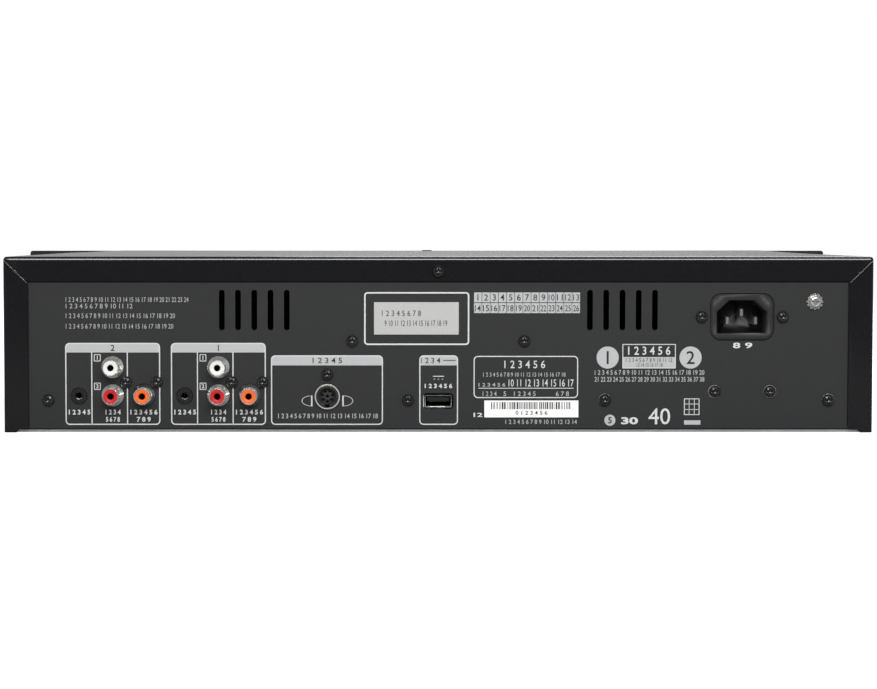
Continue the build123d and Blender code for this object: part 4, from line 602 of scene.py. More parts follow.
SLOT_FINISH: dict[str, Finish] = {
    "black_paint": LID_PAINT,
    "grey_paint": PANEL_PAINT,
    "zinc_steel": BARE_SHEET,
    "panel_black": FASCIA,
    "black_screw": SCREW_BLACK,
    "nickel": NICKEL,
    "brass": BRASS,
    "moulded_black": BLACK_MOULDING,
    "insert_white": WHITE_INSERT,
    "insert_red": RED_INSERT,
    "insert_orange": ORANGE_INSERT,
    "board_green": BOARD_GREEN,
    "chip_black": CHIP_BLACK,
    "core_steel": LAMINATIONS,
    "can_black": SLEEVE,
    "aluminium": SPUN_ALUMINIUM,
    "tray_black": TRAY_BLACK,
    "frame_black": FRAME_BLACK,
    "gear_white": ACETAL,
    "belt_rubber": RUBBER,
    "motor_steel": MOTOR_CAN,
    "polished_steel": GROUND_ROD,
    "sled_grey": SLED_GREY,
    "button_grey": BUTTON_GREY,
}

NODE_FINISH: dict[str, Finish] = {
    # The mains pins are darkened as painted shade inside the inlet's recess.
    "ac_inlet_pins": DULL_AND_SHADED_NICKEL,
    "fader_jacks": JACK_BLACK_AND_SHADE,
    "ground_screw": PLATED_SCREW,
    "lead_screw_1": LEAD_THREAD,
    "lead_screw_2": LEAD_THREAD,
}


# ---------------------------------------------------------------- mesh helpers
def new_piece(
    mesh_data: bmesh.types.BMesh, name: str, finishes: Sequence[bpy.types.Material], body: BodyName
) -> bpy.types.Object:
    """Turn a worked mesh into a piece that rides on one body of the part.

    Args:
        mesh_data: the mesh in metres, freed here.
        name: the piece's name.
        finishes: its materials, in the order that its faces count them.
        body: the body that it moves with.

    Returns:
        The new object.
    """
    bmesh.ops.recalc_face_normals(mesh_data, faces=mesh_data.faces)
    mesh = bpy.data.meshes.new(name)
    mesh_data.to_mesh(mesh)
    mesh_data.free()
    piece = bpy.data.objects.new(name, mesh)
    bpy.context.scene.collection.objects.link(piece)
    for finish in finishes:
        mesh.materials.append(finish)
    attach(piece, body)
    LOG.info("%s: %d faces on %s", name, len(mesh.polygons), body)
    return piece


def copied_node(node: str) -> bmesh.types.BMesh:
    """A working copy of one solid's mesh, in metres."""
    copy = bmesh.new()
    copy.from_mesh(bpy.data.objects[node].data)
    bmesh.ops.remove_doubles(copy, verts=copy.verts, dist=1e-6)
    return copy


def ring_of(work: bmesh.types.BMesh, points: Iterable[Vector]) -> list[bmesh.types.BMVert]:
    """New vertices at some points, given in metres."""
    return [work.verts.new(point) for point in points]


def loft(
    work: bmesh.types.BMesh, rings: Sequence[Sequence[bmesh.types.BMVert]], closed: bool = False
) -> None:
    """Join rings of vertices, each to the next one.

    Args:
        work: the mesh that holds them.
        rings: as many vertices in each, in the same order.
        closed: whether the last joins the first; if not, both ends are filled.
    """
    pairs = list(zip(rings, rings[1:]))
    if closed:
        pairs.append((rings[-1], rings[0]))
    for a, b in pairs:
        for k, j in enumerate([*range(1, len(a)), 0]):
            work.faces.new((a[k], a[j], b[j], b[k]))
    if not closed:
        work.faces.new(rings[0])
        work.faces.new(list(reversed(rings[-1])))


def shade_by_angle(piece: bpy.types.Object, degrees: float = 32.0) -> None:
    """Shade a piece smooth except over edges sharper than an angle."""
    piece.data.shade_smooth()
    piece.data.set_sharp_from_angle(angle=math.radians(degrees))


@dataclass(frozen=True)
class Face:
    """A flat upright face of the part that print or a fitting lies on."""

    facing: Facing
    y: float

    def point(self, x: float, z: float, proud: float) -> Vector:
        """A point standing proud of the face, in metres."""
        return Vector((x, self.y + self.facing.value * proud, z)) * MM

    def reading(self, x: float, z: float, proud: float) -> Matrix:
        """The place and turn of print that reads the right way round from outside."""
        side = -self.facing.value
        turn = Matrix(((side, 0, 0, 0), (0, 0, -side, 0), (0, 1, 0, 0), (0, 0, 0, 1)))
        return Matrix.Translation(self.point(x, z, proud)) @ turn


REAR_FACE = Face(Facing.REAR, 120.0)
FLANGE_FACE = Face(Facing.REAR, 121.0)
FRONT_FACE = Face(Facing.FRONT, -128.0)


@dataclass
class PrintLayer:
    """One ink or foil on one face, gathered as closed films and made into one piece."""

    name: str
    face: Face
    finish: Finish
    film: float = 0.05
    lift: float = 0.01
    work: bmesh.types.BMesh = field(default_factory=bmesh.new)

    def _ring(self, loop: Sequence[Point], proud: float) -> list[bmesh.types.BMVert]:
        """New vertices round a loop, standing proud of the face."""
        return ring_of(self.work, (self.face.point(x, z, proud) for x, z in loop))

    def slab(self, loop: Sequence[Point]) -> None:
        """Add one filled shape.

        Args:
            loop: its (x, z) corners in order.
        """
        loft(self.work, [self._ring(loop, self.lift + up) for up in (0.0, self.film)])

    def band(self, outer: Sequence[Point], inner: Sequence[Point]) -> None:
        """Add the closed strip between two loops.

        Args:
            outer: the outer loop's (x, z) points.
            inner: as many points, each across from its own outer one.
        """
        top = self.lift + self.film
        corners = ((outer, self.lift), (outer, top), (inner, top), (inner, self.lift))
        loft(self.work, [self._ring(loop, proud) for loop, proud in corners], closed=True)

    def bar(self, x0: float, z0: float, x1: float, z1: float) -> None:
        """Add a filled upright rectangle between two corners."""
        self.slab([(x0, z0), (x1, z0), (x1, z1), (x0, z1)])

    def line(self, start: Point, end: Point, width: float) -> None:
        """Add a straight stroke.

        Args:
            start: its first point.
            end: its last point.
            width: its width.
        """
        first, last = Vector(start), Vector(end)
        along = last - first
        side = Vector((-along.y, along.x)).normalized() * width / 2
        self.slab([tuple(p) for p in (first + side, last + side, last - side, first - side)])

    def box(
        self, x0: float, z0: float, x1: float, z1: float, stroke: float, radius: float = 0.0
    ) -> None:
        """Add an outlined rectangle with rounded corners.

        Args:
            x0: one side.
            z0: the lower edge.
            x1: the other side.
            z1: the upper edge.
            stroke: the outline's width, inwards from the edge.
            radius: the outer corners' radius.
        """
        outer = rounded_loop(x0, z0, x1, z1, radius)
        inner = rounded_loop(
            min(x0, x1) + stroke, z0 + stroke, max(x0, x1) - stroke, z1 - stroke,
            max(radius - stroke, 0.0),
        )
        self.band(outer, inner)

    def ring(self, x: float, z: float, radius: float, stroke: float, count: int = 40) -> None:
        """Add a circle's outline.

        Args:
            x: its middle.
            z: its middle.
            radius: its outer radius.
            stroke: the outline's width, inwards.
            count: how many sides stand for the circle.
        """
        self.band(circle(x, z, radius, count), circle(x, z, radius - stroke, count))

    def disc(self, x: float, z: float, radius: float) -> None:
        """Add a filled circle."""
        self.slab(circle(x, z, radius, 32))

    def write(
        self,
        words: str,
        x: float,
        z: float,
        height: float,
        align: Align = Align.MIDDLE,
        width: float | None = None,
        weight: float = 0.0,
    ) -> None:
        """Add plain numbers or a switch's marks.

        Args:
            words: what it reads.
            x: the point that it is aligned to.
            z: its foot.
            height: how tall its digits are.
            align: which side of it stands at x, as it is read.
            width: how wide the whole line is, or None for its usual width.
            weight: how much its strokes are thickened.
        """
        curve = bpy.data.curves.new("Lettering", "FONT")
        curve.body = words
        curve.size = height
        curve.offset = weight
        curve.extrude = self.film / 2
        curve.resolution_u = 3
        holder = bpy.data.objects.new("Lettering", curve)
        bpy.context.scene.collection.objects.link(holder)
        bpy.context.view_layer.update()
        held = holder.evaluated_get(bpy.context.evaluated_depsgraph_get())
        mesh = bpy.data.meshes.new_from_object(held)
        bpy.data.objects.remove(holder)
        bpy.data.curves.remove(curve)
        spans = [[v.co[axis] for v in mesh.vertices] for axis in (0, 1)]
        low_x, low_y = min(spans[0]), min(spans[1])
        wide, tall = max(spans[0]) - low_x, max(spans[1]) - low_y
        across = (width or wide * height / tall) / wide
        shift = -low_x - align.value * wide
        local = Matrix.Diagonal((across, height / tall, 1.0, 1.0)) @ Matrix.Translation(
            (shift, -low_y, 0.0)
        )
        turn = self.face.reading(x, z, self.lift + self.film / 2)
        mesh.transform(turn @ Matrix.Diagonal((MM, MM, MM, 1.0)) @ local)
        self.work.from_mesh(mesh)
        bpy.data.meshes.remove(mesh)

    def piece(self, effects: Effects, body: BodyName, slot: str) -> bpy.types.Object:
        """Make the layer's piece.

        Args:
            effects: the shared node groups.
            body: the body that it moves with.
            slot: not used.

        Returns:
            The new object.
        """
        made = new_piece(self.work, self.name, [self.finish.material(effects)], body)
        return made


def circle(x: float, z: float, radius: float, count: int) -> list[Point]:
    """Points round a circle, in order."""
    turns = [math.tau * i / count for i in range(count)]
    return [(x + radius * math.cos(t), z + radius * math.sin(t)) for t in turns]


def rounded_loop(x0: float, z0: float, x1: float, z1: float, radius: float) -> list[Point]:
    """Points round a rectangle with quarter-round corners, six to a corner.

    Args:
        x0: one side.
        z0: the lower edge.
        x1: the other side.
        z1: the upper edge.
        radius: the corners' radius.

    Returns:
        The (x, z) points in order.
    """
    low_x, high_x = min(x0, x1), max(x0, x1)
    middles = (
        (high_x - radius, z1 - radius), (low_x + radius, z1 - radius),
        (low_x + radius, z0 + radius), (high_x - radius, z0 + radius),
    )
    loop = []
    for quarter, (x, z) in enumerate(middles):
        for step in range(6):
            turn = math.pi / 2 * (quarter + step / 5)
            loop.append((x + radius * math.cos(turn), z + radius * math.sin(turn)))
    return loop


# ---------------------------------------------------------------- the lid
@dataclass
class Lid:
    """The folded lid, whose top springs up towards the front, with its mitre seams."""

    crown: float = 1.28
    dip: float = 0.30
    shoulders: tuple[float, float] = (34.0, 14.0)
    rear_y: float = 118.0
    front_y: float = -124.0
    half_width: float = 215.0
    seam: tuple[Point, Point] = ((214.5, 85.0), (203.3, 74.1))
    seam_width: float = 0.22
    gap_width: float = 0.24
    # A small bright spot of painted light on each seam.
    tack: float = 1.7
    tack_places: tuple[float, float] = (0.49, 0.55)
    flange_inner: Point = (202.8, 74.8)
    gap_shade: float = 0.6
    side_shade: float = 0.3
    pan_line: Point = (1.55, 2.0)
    roll_shares: tuple[float, ...] = (0.1, 0.3, 0.5, 0.7, 0.9)
    stations: tuple[float, ...] = (170.0, 130.0, 90.0, 45.0)
    rows: int = 16
    sprung_above: float = 85.9
    rolled_slope: Point = (0.05, 0.995)
    tack_strokes: tuple[Point, ...] = ((1.0, 0.42), (0.7, 0.72))
    tack_raise: float = 0.1
    side_foot: float = 3.0

    def lift(self, x: float, y: float) -> float:
        """How far the sheet springs up at a point, in millimetres."""
        back = min(max((self.rear_y - y) / (self.rear_y - self.front_y), 0.0), 1.0)
        shoulder = self.shoulders[0] if x > 0 else self.shoulders[1]
        in_from_side = min(max((self.half_width - abs(x)) / shoulder, 0.0), 1.0)
        side = in_from_side**2 * (3 - 2 * in_from_side)
        middle = self.dip * (1 - (x / self.half_width) ** 2)
        return (self.crown - middle) * side * back**1.4

    def build_skin(self, effects: Effects) -> None:
        """Copy the solid lid, cut its top into a grid and spring it."""
        work = copied_node("top_cover")
        across = [0.0]
        for side, shoulder in ((1, self.shoulders[0]), (-1, self.shoulders[1])):
            rolls = [self.half_width - shoulder * share for share in self.roll_shares]
            across += [side * x for x in (*rolls, *self.stations)]
        for x in across:
            self._cut(work, Vector((x, 0, 0)), Vector((1, 0, 0)))
        for step in range(1, self.rows):
            y = self.rear_y + (self.front_y - self.rear_y) * step / self.rows
            self._cut(work, Vector((0, y, 0)), Vector((0, 1, 0)))
        for vert in work.verts:
            x, y, z = vert.co / MM
            if z > self.sprung_above:
                vert.co.z += self.lift(x, y) * MM
        finishes = [LID_PAINT.material(effects), LID_ROLL.material(effects)]
        skin = new_piece(work, "lid_skin", finishes, "case")
        steep, flat = self.rolled_slope
        for face in skin.data.polygons:
            rolled = face.center.y > self.rear_y * MM and steep < face.normal.z < flat
            face.material_index = int(rolled)
        shade_by_angle(skin)
        even = skin.modifiers.new("Even_normals", "WEIGHTED_NORMAL")
        even.keep_sharp = True
        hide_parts("top_cover")

    @staticmethod
    def _cut(work: bmesh.types.BMesh, at: Vector, across: Vector) -> None:
        """Cut the whole mesh along one plane, keeping both sides."""
        parts = [*work.verts, *work.edges, *work.faces]
        bmesh.ops.bisect_plane(work, geom=parts, plane_co=at * MM, plane_no=across, dist=1e-6)

    def build_seams(self, effects: Effects) -> None:
        """The lower lip of each mitre, a bare edge with a painted highlight and a small spot of
        painted light, and the gaps' painted shadows.
        """
        # Bright seam lines are bare edges with a painted highlight; each gap above them is a
        # painted shadow.
        edge = PrintLayer("mitre_edges_and_highlights", FLANGE_FACE, SCRAPED, film=0.05)
        gap = PrintLayer("mitre_gap_shadows", FLANGE_FACE, RECESS_SHADE, film=0.03)
        (x0, z0), (x1, z1) = self.seam
        for side, place in ((1, self.tack_places[0]), (-1, self.tack_places[1])):
            edge.line((side * x0, z0), (side * x1, z1), self.seam_width)
            shade = self.seam_width / 2 + self.gap_width / 2
            gap.line((side * x0, z0 + shade), (side * x1, z1 + shade), self.gap_width)
            middle = (x0 + (x1 - x0) * place, z0 + (z1 - z0) * place)
            reach = self.tack / 2 * math.sqrt(0.5)
            for share, width in self.tack_strokes:
                ends = [
                    (side * (middle[0] + way * share), middle[1] + way * share + self.tack_raise)
                    for way in (reach, -reach)
                ]
                edge.line(*ends, width)
        # Painted shadows on the rear panel: under the lid's flange, beside its sides, and in the
        # gap above the pan at the panel's foot.
        under = PrintLayer("flange_gap_shadows", REAR_FACE, RECESS_SHADE, film=0.03)
        inner_x, inner_z = self.flange_inner
        under.bar(-inner_x, inner_z - self.gap_shade, inner_x, inner_z)
        for side in (-1, 1):
            end = side * (inner_x - self.side_shade)
            under.bar(side * inner_x, self.side_foot, end, inner_z)
        foot, line = self.pan_line
        under.bar(-inner_x, foot, inner_x, line)
        edge.piece(effects, "case", "black_paint")
        gap.piece(effects, "case", "black_paint")
        under.piece(effects, "case", "black_paint")

    def build(self, effects: Effects) -> None:
        """Build the skin and its seams."""
        self.build_skin(effects)
        self.build_seams(effects)


# ---------------------------------------------------------------- rear panel print
class Ink(Enum):
    """The rear panel's layers of ink and label stock, each by its piece's name."""

    WHITE = "rear_print_white"
    FILL = "rear_print_headers"
    THIN = "rear_print_rows"
    LABEL = "rear_labels"
    STICKER = "rear_sticker"
    DARK = "rear_print_dark"


Inks = dict[Ink, PrintLayer]


@dataclass(frozen=True)
class Count:
    """A row of plain counting numbers that fills a width, as it is read from behind."""

    ink: Ink
    first: int
    last: int
    left: float
    right: float
    foot: float
    height: float
    weight: float = 0.0

    def draw(self, inks: Inks) -> None:
        """Print it on its layer."""
        words = " ".join(str(n) for n in range(self.first, self.last + 1))
        wide = abs(self.left - self.right)
        inks[self.ink].write(
            words, self.left, self.foot, self.height, Align.LEFT, wide, self.weight
        )


@dataclass(frozen=True)
class Mark:
    """One short number, centred."""

    ink: Ink
    words: str
    x: float
    foot: float
    height: float
    weight: float = 0.0
    width: float | None = None

    def draw(self, inks: Inks) -> None:
        """Print it on its layer."""
        inks[self.ink].write(
            self.words, self.x, self.foot, self.height, width=self.width, weight=self.weight
        )


@dataclass(frozen=True)
class Outline:
    """A white outlined rectangle with rounded corners."""

    x0: float
    z0: float
    x1: float
    z1: float
    stroke: float
    radius: float

    def draw(self, inks: Inks) -> None:
        """Print it on the white layer."""
        inks[Ink.WHITE].box(self.x0, self.z0, self.x1, self.z1, self.stroke, self.radius)


@dataclass(frozen=True)
class Plate:
    """A filled rectangle, its corners rounded where it has a radius."""

    ink: Ink
    x0: float
    z0: float
    x1: float
    z1: float
    radius: float = 0.0

    def draw(self, inks: Inks) -> None:
        """Print it on its layer."""
        if self.radius:
            inks[self.ink].slab(rounded_loop(self.x0, self.z0, self.x1, self.z1, self.radius))
        else:
            inks[self.ink].bar(self.x0, self.z0, self.x1, self.z1)


@dataclass(frozen=True)
class Dot:
    """A filled circle."""

    ink: Ink
    x: float
    z: float
    radius: float

    def draw(self, inks: Inks) -> None:
        """Print it on its layer."""
        inks[self.ink].disc(self.x, self.z, self.radius)


Printed = Count | Mark | Outline | Plate | Dot


@dataclass
class OutputBlocks:
    """The two big output boxes, one for each tray, with rows of numbers below each socket."""

    lefts: tuple[tuple[float, str], ...] = ((184.6, "2"), (132.3, "1"))
    width: float = 46.95
    foot: float = 3.7
    top: float = 44.35
    header_foot: float = 39.6
    stroke: float = 0.55
    corner: float = 2.1
    dividers: tuple[float, ...] = (13.1, 30.7)
    divider_half: float = 0.26
    legends: tuple[tuple[int, int, float, float, float], ...] = (
        (1, 5, 1.6, 12.3, 8.8), (1, 4, 19.8, 27.3, 8.8), (5, 8, 20.0, 26.9, 5.2),
        (1, 6, 32.1, 45.5, 8.8), (7, 9, 35.3, 42.2, 5.2),
    )
    signs: tuple[tuple[str, float], ...] = (("1", 35.2), ("2", 21.1))
    sign_ends: Point = (17.5, 14.2)
    sign_height: float = 3.5

    def header(self, inks: Inks, left: float, right: float, foot: float, top: float) -> None:
        """Print a pale header bar, its upper corners round.

        Args:
            inks: the layers to print on.
            left: its left end as it is read.
            right: its right end.
            foot: its lower edge.
            top: its upper edge.
        """
        inset = self.stroke * 0.6
        below = 2 * self.corner
        loop = rounded_loop(right + inset, foot - below, left - inset, top - inset, self.corner)
        upper = [(x, max(z, foot)) for x, z in loop[:12]]
        inks[Ink.FILL].slab([*upper, (right + inset, foot), (left - inset, foot)])

    def signs_beside(self, left: float) -> list[Printed]:
        """The small numbered squares beside the two line sockets of one block."""
        outer, inner = (left - end for end in self.sign_ends)
        middle = (outer + inner) / 2
        marks: list[Printed] = []
        for words, z in self.signs:
            marks.append(Outline(outer, z, inner, z + self.sign_height, 0.36, 0.3))
            marks.append(Mark(Ink.WHITE, words, middle, z + 0.75, 2.0, 0.04))
        return marks

    def draw(self, inks: Inks) -> None:
        """Print both blocks."""
        for left, number in self.lefts:
            right = left - self.width
            self.header(inks, left, right, self.header_foot, self.top)
            marks = [
                Outline(right, self.foot, left, self.top, self.stroke, self.corner),
                Mark(Ink.DARK, number, (left + right) / 2, self.header_foot + 0.75, 3.1, 0.02),
                *self.signs_beside(left),
            ]
            for reach in self.dividers:
                sides = [left - reach + side * self.divider_half for side in (-1, 1)]
                ends = self.foot + 0.2, self.header_foot + 0.2
                marks.append(Plate(Ink.WHITE, sides[0], ends[0], sides[1], ends[1]))
            for first, last, start, end, z in self.legends:
                marks.append(Count(Ink.WHITE, first, last, left - start, left - end, z, 2.45, 0.07))
            for mark in marks:
                mark.draw(inks)


@dataclass
class SocketBoxes:
    """The round socket's box with a half-round shape on each side of the socket, and the data
    port's box.
    """

    frame: OutputBlocks
    spans: tuple[Point, ...] = ((82.8, 27.4), (9.4, -9.8))
    header_foot: float = 33.2
    top: float = 38.2
    socket_x: float = 54.9
    sign_away: float = 8.1
    sign_z: float = 15.6
    sign_half: float = 2.65
    sign_reach: float = 4.7
    sign_stroke: Point = (0.45, 0.35)
    marks: tuple[Printed, ...] = (
        Count(Ink.DARK, 1, 5, 62.2, 47.6, 34.3, 2.7, 0.02),
        Count(Ink.DARK, 1, 4, 8.7, -1.0, 34.3, 2.7, 0.02),
        Plate(Ink.DARK, -2.4, 35.5, -8.6, 35.9),
        Count(Ink.THIN, 1, 18, 79.3, 29.9, 6.9, 2.4, 0.03),
        Plate(Ink.WHITE, -2.8, 27.6, 2.6, 28.0),
        Plate(Ink.THIN, -2.35, 26.2, -1.65, 26.6), Plate(Ink.THIN, -0.45, 26.2, 0.25, 26.6),
        Plate(Ink.THIN, 1.55, 26.2, 2.25, 26.6),
        Count(Ink.WHITE, 1, 6, 6.7, -6.9, 21.9, 2.25, 0.07),
    )

    def half_round_sign(self, inks: Inks, side: int) -> None:
        """A thick pale bar with a half-round outline and a dark fill, beside the round socket.

        Args:
            inks: the layers to print on.
            side: 1 for the shape on the socket's +X side, -1 for the other.
        """
        flat = self.socket_x + side * self.sign_away
        low, high = self.sign_z - self.sign_half, self.sign_z + self.sign_half
        inks[Ink.WHITE].bar(flat - side * 0.7, low, flat + side * 0.2, high)
        turns = [math.pi * (i / 16 - 0.5) for i in range(17)]
        loops = []
        for thick in (0.0, 1.0):
            wide = self.sign_reach - thick * self.sign_stroke[0]
            tall = self.sign_half - thick * self.sign_stroke[1]
            loops.append(
                [
                    (flat + side * wide * math.cos(t), self.sign_z + tall * math.sin(t))
                    for t in turns
                ]
            )
        inks[Ink.THIN].band(*loops)
        inks[Ink.DARK].slab(loops[1])

    def draw(self, inks: Inks) -> None:
        """Print both boxes."""
        foot, stroke, corner = self.frame.foot, self.frame.stroke, self.frame.corner
        for left, right in self.spans:
            Outline(right, foot, left, self.top, stroke, corner).draw(inks)
            self.frame.header(inks, left, right, self.header_foot, self.top)
        for side in (-1, 1):
            self.half_round_sign(inks, side)
        for mark in self.marks:
            mark.draw(inks)


@dataclass
class NumberGrid:
    """Two rows of numbered cells."""

    left: float = -17.5
    pitch: float = 4.046
    columns: int = 13
    gap: float = 0.13
    rows: tuple[Point, ...] = ((64.45, 69.3), (59.1, 64.05))

    def draw(self, inks: Inks) -> None:
        """Print the cells and their numbers."""
        half = self.pitch / 2 - self.gap
        for row, (foot, top) in enumerate(self.rows):
            for column in range(self.columns):
                x = self.left - self.pitch * (column + 0.5)
                number = str(row * self.columns + column + 1)
                wide = None if len(number) == 1 else 2.9
                Plate(Ink.FILL, x - half, foot, x + half, top).draw(inks)
                Mark(Ink.DARK, number, x, foot + 0.85, 3.1, 0.01, wide).draw(inks)


@dataclass
class BarStrip:
    """A strip of plain bars that stands for nothing."""

    start: float = -26.2
    end: float = -65.6
    foot: float = 11.5
    top: float = 15.0
    bars: tuple[float, ...] = (0.22, 0.3, 0.5, 0.75)
    gaps: tuple[float, ...] = (0.35, 0.45, 0.7)

    def draw(self, inks: Inks) -> None:
        """Print the bars."""
        chance = random.Random(5)
        x = self.start
        while x > self.end:
            wide = chance.choice(self.bars)
            Plate(Ink.DARK, x - wide, self.foot, x, self.top).draw(inks)
            x -= wide + chance.choice(self.gaps)


@dataclass
class RearPrint:
    """The outlines, number rows and labels printed on the rear panel."""

    text_rows: tuple[Printed, ...] = (
        Count(Ink.THIN, 1, 24, 184.2, 123.5, 64.6, 2.35),
        Count(Ink.THIN, 1, 12, 184.2, 151.2, 61.4, 2.35),
        Count(Ink.THIN, 1, 20, 184.2, 130.2, 56.6, 2.35),
        Count(Ink.THIN, 1, 20, 184.2, 131.1, 51.4, 2.35),
        Count(Ink.THIN, 1, 20, -77.4, -131.7, 28.5, 2.4, 0.03),
        Count(Ink.THIN, 21, 38, -77.4, -131.7, 25.1, 2.4, 0.03),
        Mark(Ink.WHITE, "8 9", -150.5, 41.7, 2.8, 0.07, 9.6),
    )
    framed_label: tuple[Printed, ...] = (
        Outline(-15.3, 43.3, 36.7, 69.5, 0.75, 1.8),
        Plate(Ink.LABEL, -10.1, 48.5, 31.8, 64.5, 0.3),
        Count(Ink.DARK, 1, 8, 27.9, 8.6, 57.6, 2.8),
        Count(Ink.DARK, 9, 19, 26.6, -4.4, 52.7, 2.8),
    )
    rating_box: tuple[Printed, ...] = (
        Outline(-69.2, 17.0, -17.5, 37.9, 0.5, 2.1),
        Count(Ink.WHITE, 1, 6, -32.7, -52.9, 31.8, 3.8, 0.02),
        Count(Ink.THIN, 1, 18, -22.2, -63.0, 27.6, 2.1, 0.02),
        Count(Ink.THIN, 1, 6, -19.9, -33.2, 22.7, 1.8, 0.03),
        Count(Ink.WHITE, 10, 17, -34.8, -67.0, 22.7, 3.6, 0.02),
        Plate(Ink.WHITE, -67.0, 21.7, -19.9, 22.05),
        Count(Ink.THIN, 1, 4, -22.0, -28.9, 18.0, 2.3, 0.02),
        Count(Ink.THIN, 5, 5, -32.3, -33.6, 18.0, 2.3, 0.02),
        Count(Ink.THIN, 1, 5, -37.5, -48.2, 18.0, 2.3, 0.02),
        Count(Ink.THIN, 6, 8, -58.2, -64.7, 18.0, 2.3, 0.02),
    )
    bar_label: tuple[Printed, ...] = (
        Plate(Ink.STICKER, -69.4, 7.4, -22.8, 15.8, 0.15),
        Count(Ink.DARK, 0, 6, -38.3, -54.1, 8.7, 2.0, 0.02),
        Mark(Ink.WHITE, "12", -19.7, 7.6, 2.1, 0.05, 4.4),
        Count(Ink.THIN, 1, 14, -33.3, -68.7, 4.1, 2.2, 0.02),
    )
    dial_sign: tuple[Printed, ...] = (
        Outline(-117.5, 31.7, -91.1, 43.8, 0.4, 0.3),
        Plate(Ink.FILL, -117.2, 32.0, -91.4, 37.35),
        Count(Ink.WHITE, 1, 6, -93.9, -114.8, 38.4, 4.2, 0.05),
        Count(Ink.DARK, 1, 12, -92.8, -115.8, 34.9, 1.9),
        Count(Ink.DARK, 13, 18, -98.2, -111.0, 32.5, 1.9),
        Dot(Ink.FILL, -83.8, 37.1, 5.5), Mark(Ink.DARK, "1", -83.8, 33.9, 6.4, 0.02),
        Dot(Ink.FILL, -124.8, 37.1, 5.5), Mark(Ink.DARK, "2", -124.8, 33.9, 6.4, 0.02),
    )
    foot_marks: tuple[Printed, ...] = (
        Dot(Ink.FILL, -85.05, 6.0, 2.75), Mark(Ink.DARK, "5", -85.05, 4.4, 3.2, 0.05),
        Mark(Ink.WHITE, "30", -94.8, 3.95, 3.6, 0.14, 8.4),
        Mark(Ink.WHITE, "40", -109.5, 3.9, 8.1, 0.02, 10.8),
        Outline(-129.4, 8.6, -121.7, 16.8, 0.4, 0.3),
        Plate(Ink.WHITE, -124.42, 8.7, -124.12, 16.7),
        Plate(Ink.WHITE, -126.99, 8.7, -126.69, 16.7),
        Plate(Ink.WHITE, -129.3, 11.18, -121.8, 11.48),
        Plate(Ink.WHITE, -129.3, 13.91, -121.8, 14.21),
        Plate(Ink.FILL, -129.9, 3.8, -121.8, 5.95),
    )

    def build(self, effects: Effects) -> None:
        """Print every layer and make their pieces."""
        layers = (
            (Ink.WHITE, WHITE_INK, 0.05, 0.01), (Ink.FILL, PALE_INK, 0.04, 0.01),
            (Ink.THIN, THIN_INK, 0.05, 0.01), (Ink.LABEL, LABEL_STOCK, 0.10, 0.01),
            (Ink.STICKER, WHITE_STOCK, 0.10, 0.01), (Ink.DARK, DARK_INK, 0.03, 0.11),
        )
        inks = {
            ink: PrintLayer(ink.value, REAR_FACE, finish, film, lift)
            for ink, finish, film, lift in layers
        }
        blocks = OutputBlocks()
        groups = (
            blocks, SocketBoxes(blocks), *self.text_rows, *self.framed_label, NumberGrid(),
            *self.rating_box, *self.bar_label, BarStrip(), *self.dial_sign, *self.foot_marks,
        )
        for group in groups:
            group.draw(inks)
        for layer in inks.values():
            layer.piece(effects, "case", "grey_paint")


@dataclass
class ScrapedRings:
    """Paint scraped to bare metal under some of the rear screws."""

    spots: tuple[tuple[float, float, float, float, float], ...] = (
        (-136.8, 20.3, 3.18, 0.14, -0.06), (-164.0, 20.3, 3.18, -0.12, -0.04),
        (-193.0, 16.0, 3.06, -0.10, 0.08), (-82.5, 16.0, 2.98, 0.04, 0.08),
    )
    inner: float = 2.7

    def build(self, effects: Effects) -> None:
        """Ragged thin bright rings, each a little to one side of its screw."""
        layer = PrintLayer("scraped_rings", REAR_FACE, SCRAPED, film=0.03)
        chance = random.Random(11)
        for x, z, reach, aside, above in self.spots:
            outer = [
                (x + aside + (px - x) * ragged, z + above + (pz - z) * ragged)
                for px, pz in circle(x, z, reach, 44)
                for ragged in (1.0 + chance.uniform(-0.035, 0.03),)
            ]
            layer.band(outer, circle(x, z, self.inner, 44))
        layer.piece(effects, "case", "grey_paint")


# ---------------------------------------------------------------- split parts
@dataclass
class SplitPart:
    """One solid shown as it is, with its faces shared between several finishes."""

    node: str
    piece_name: str
    body: BodyName
    slot: str
    finishes: tuple[Finish, ...]
    choose: Callable[[Vector, Vector], int]

    def build(self, effects: Effects) -> bpy.types.Object:
        """Copy the solid's mesh and give each face its finish.

        Args:
            effects: the shared node groups.

        Returns:
            The piece, which stands for the solid.
        """
        work = copied_node(self.node)
        for face in work.faces:
            face.material_index = self.choose(face.calc_center_median() / MM, face.normal)
        materials = [finish.material(effects) for finish in self.finishes]
        made = new_piece(work, self.piece_name, materials, self.body)
        shade_by_angle(made)
        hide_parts(self.node)
        return made


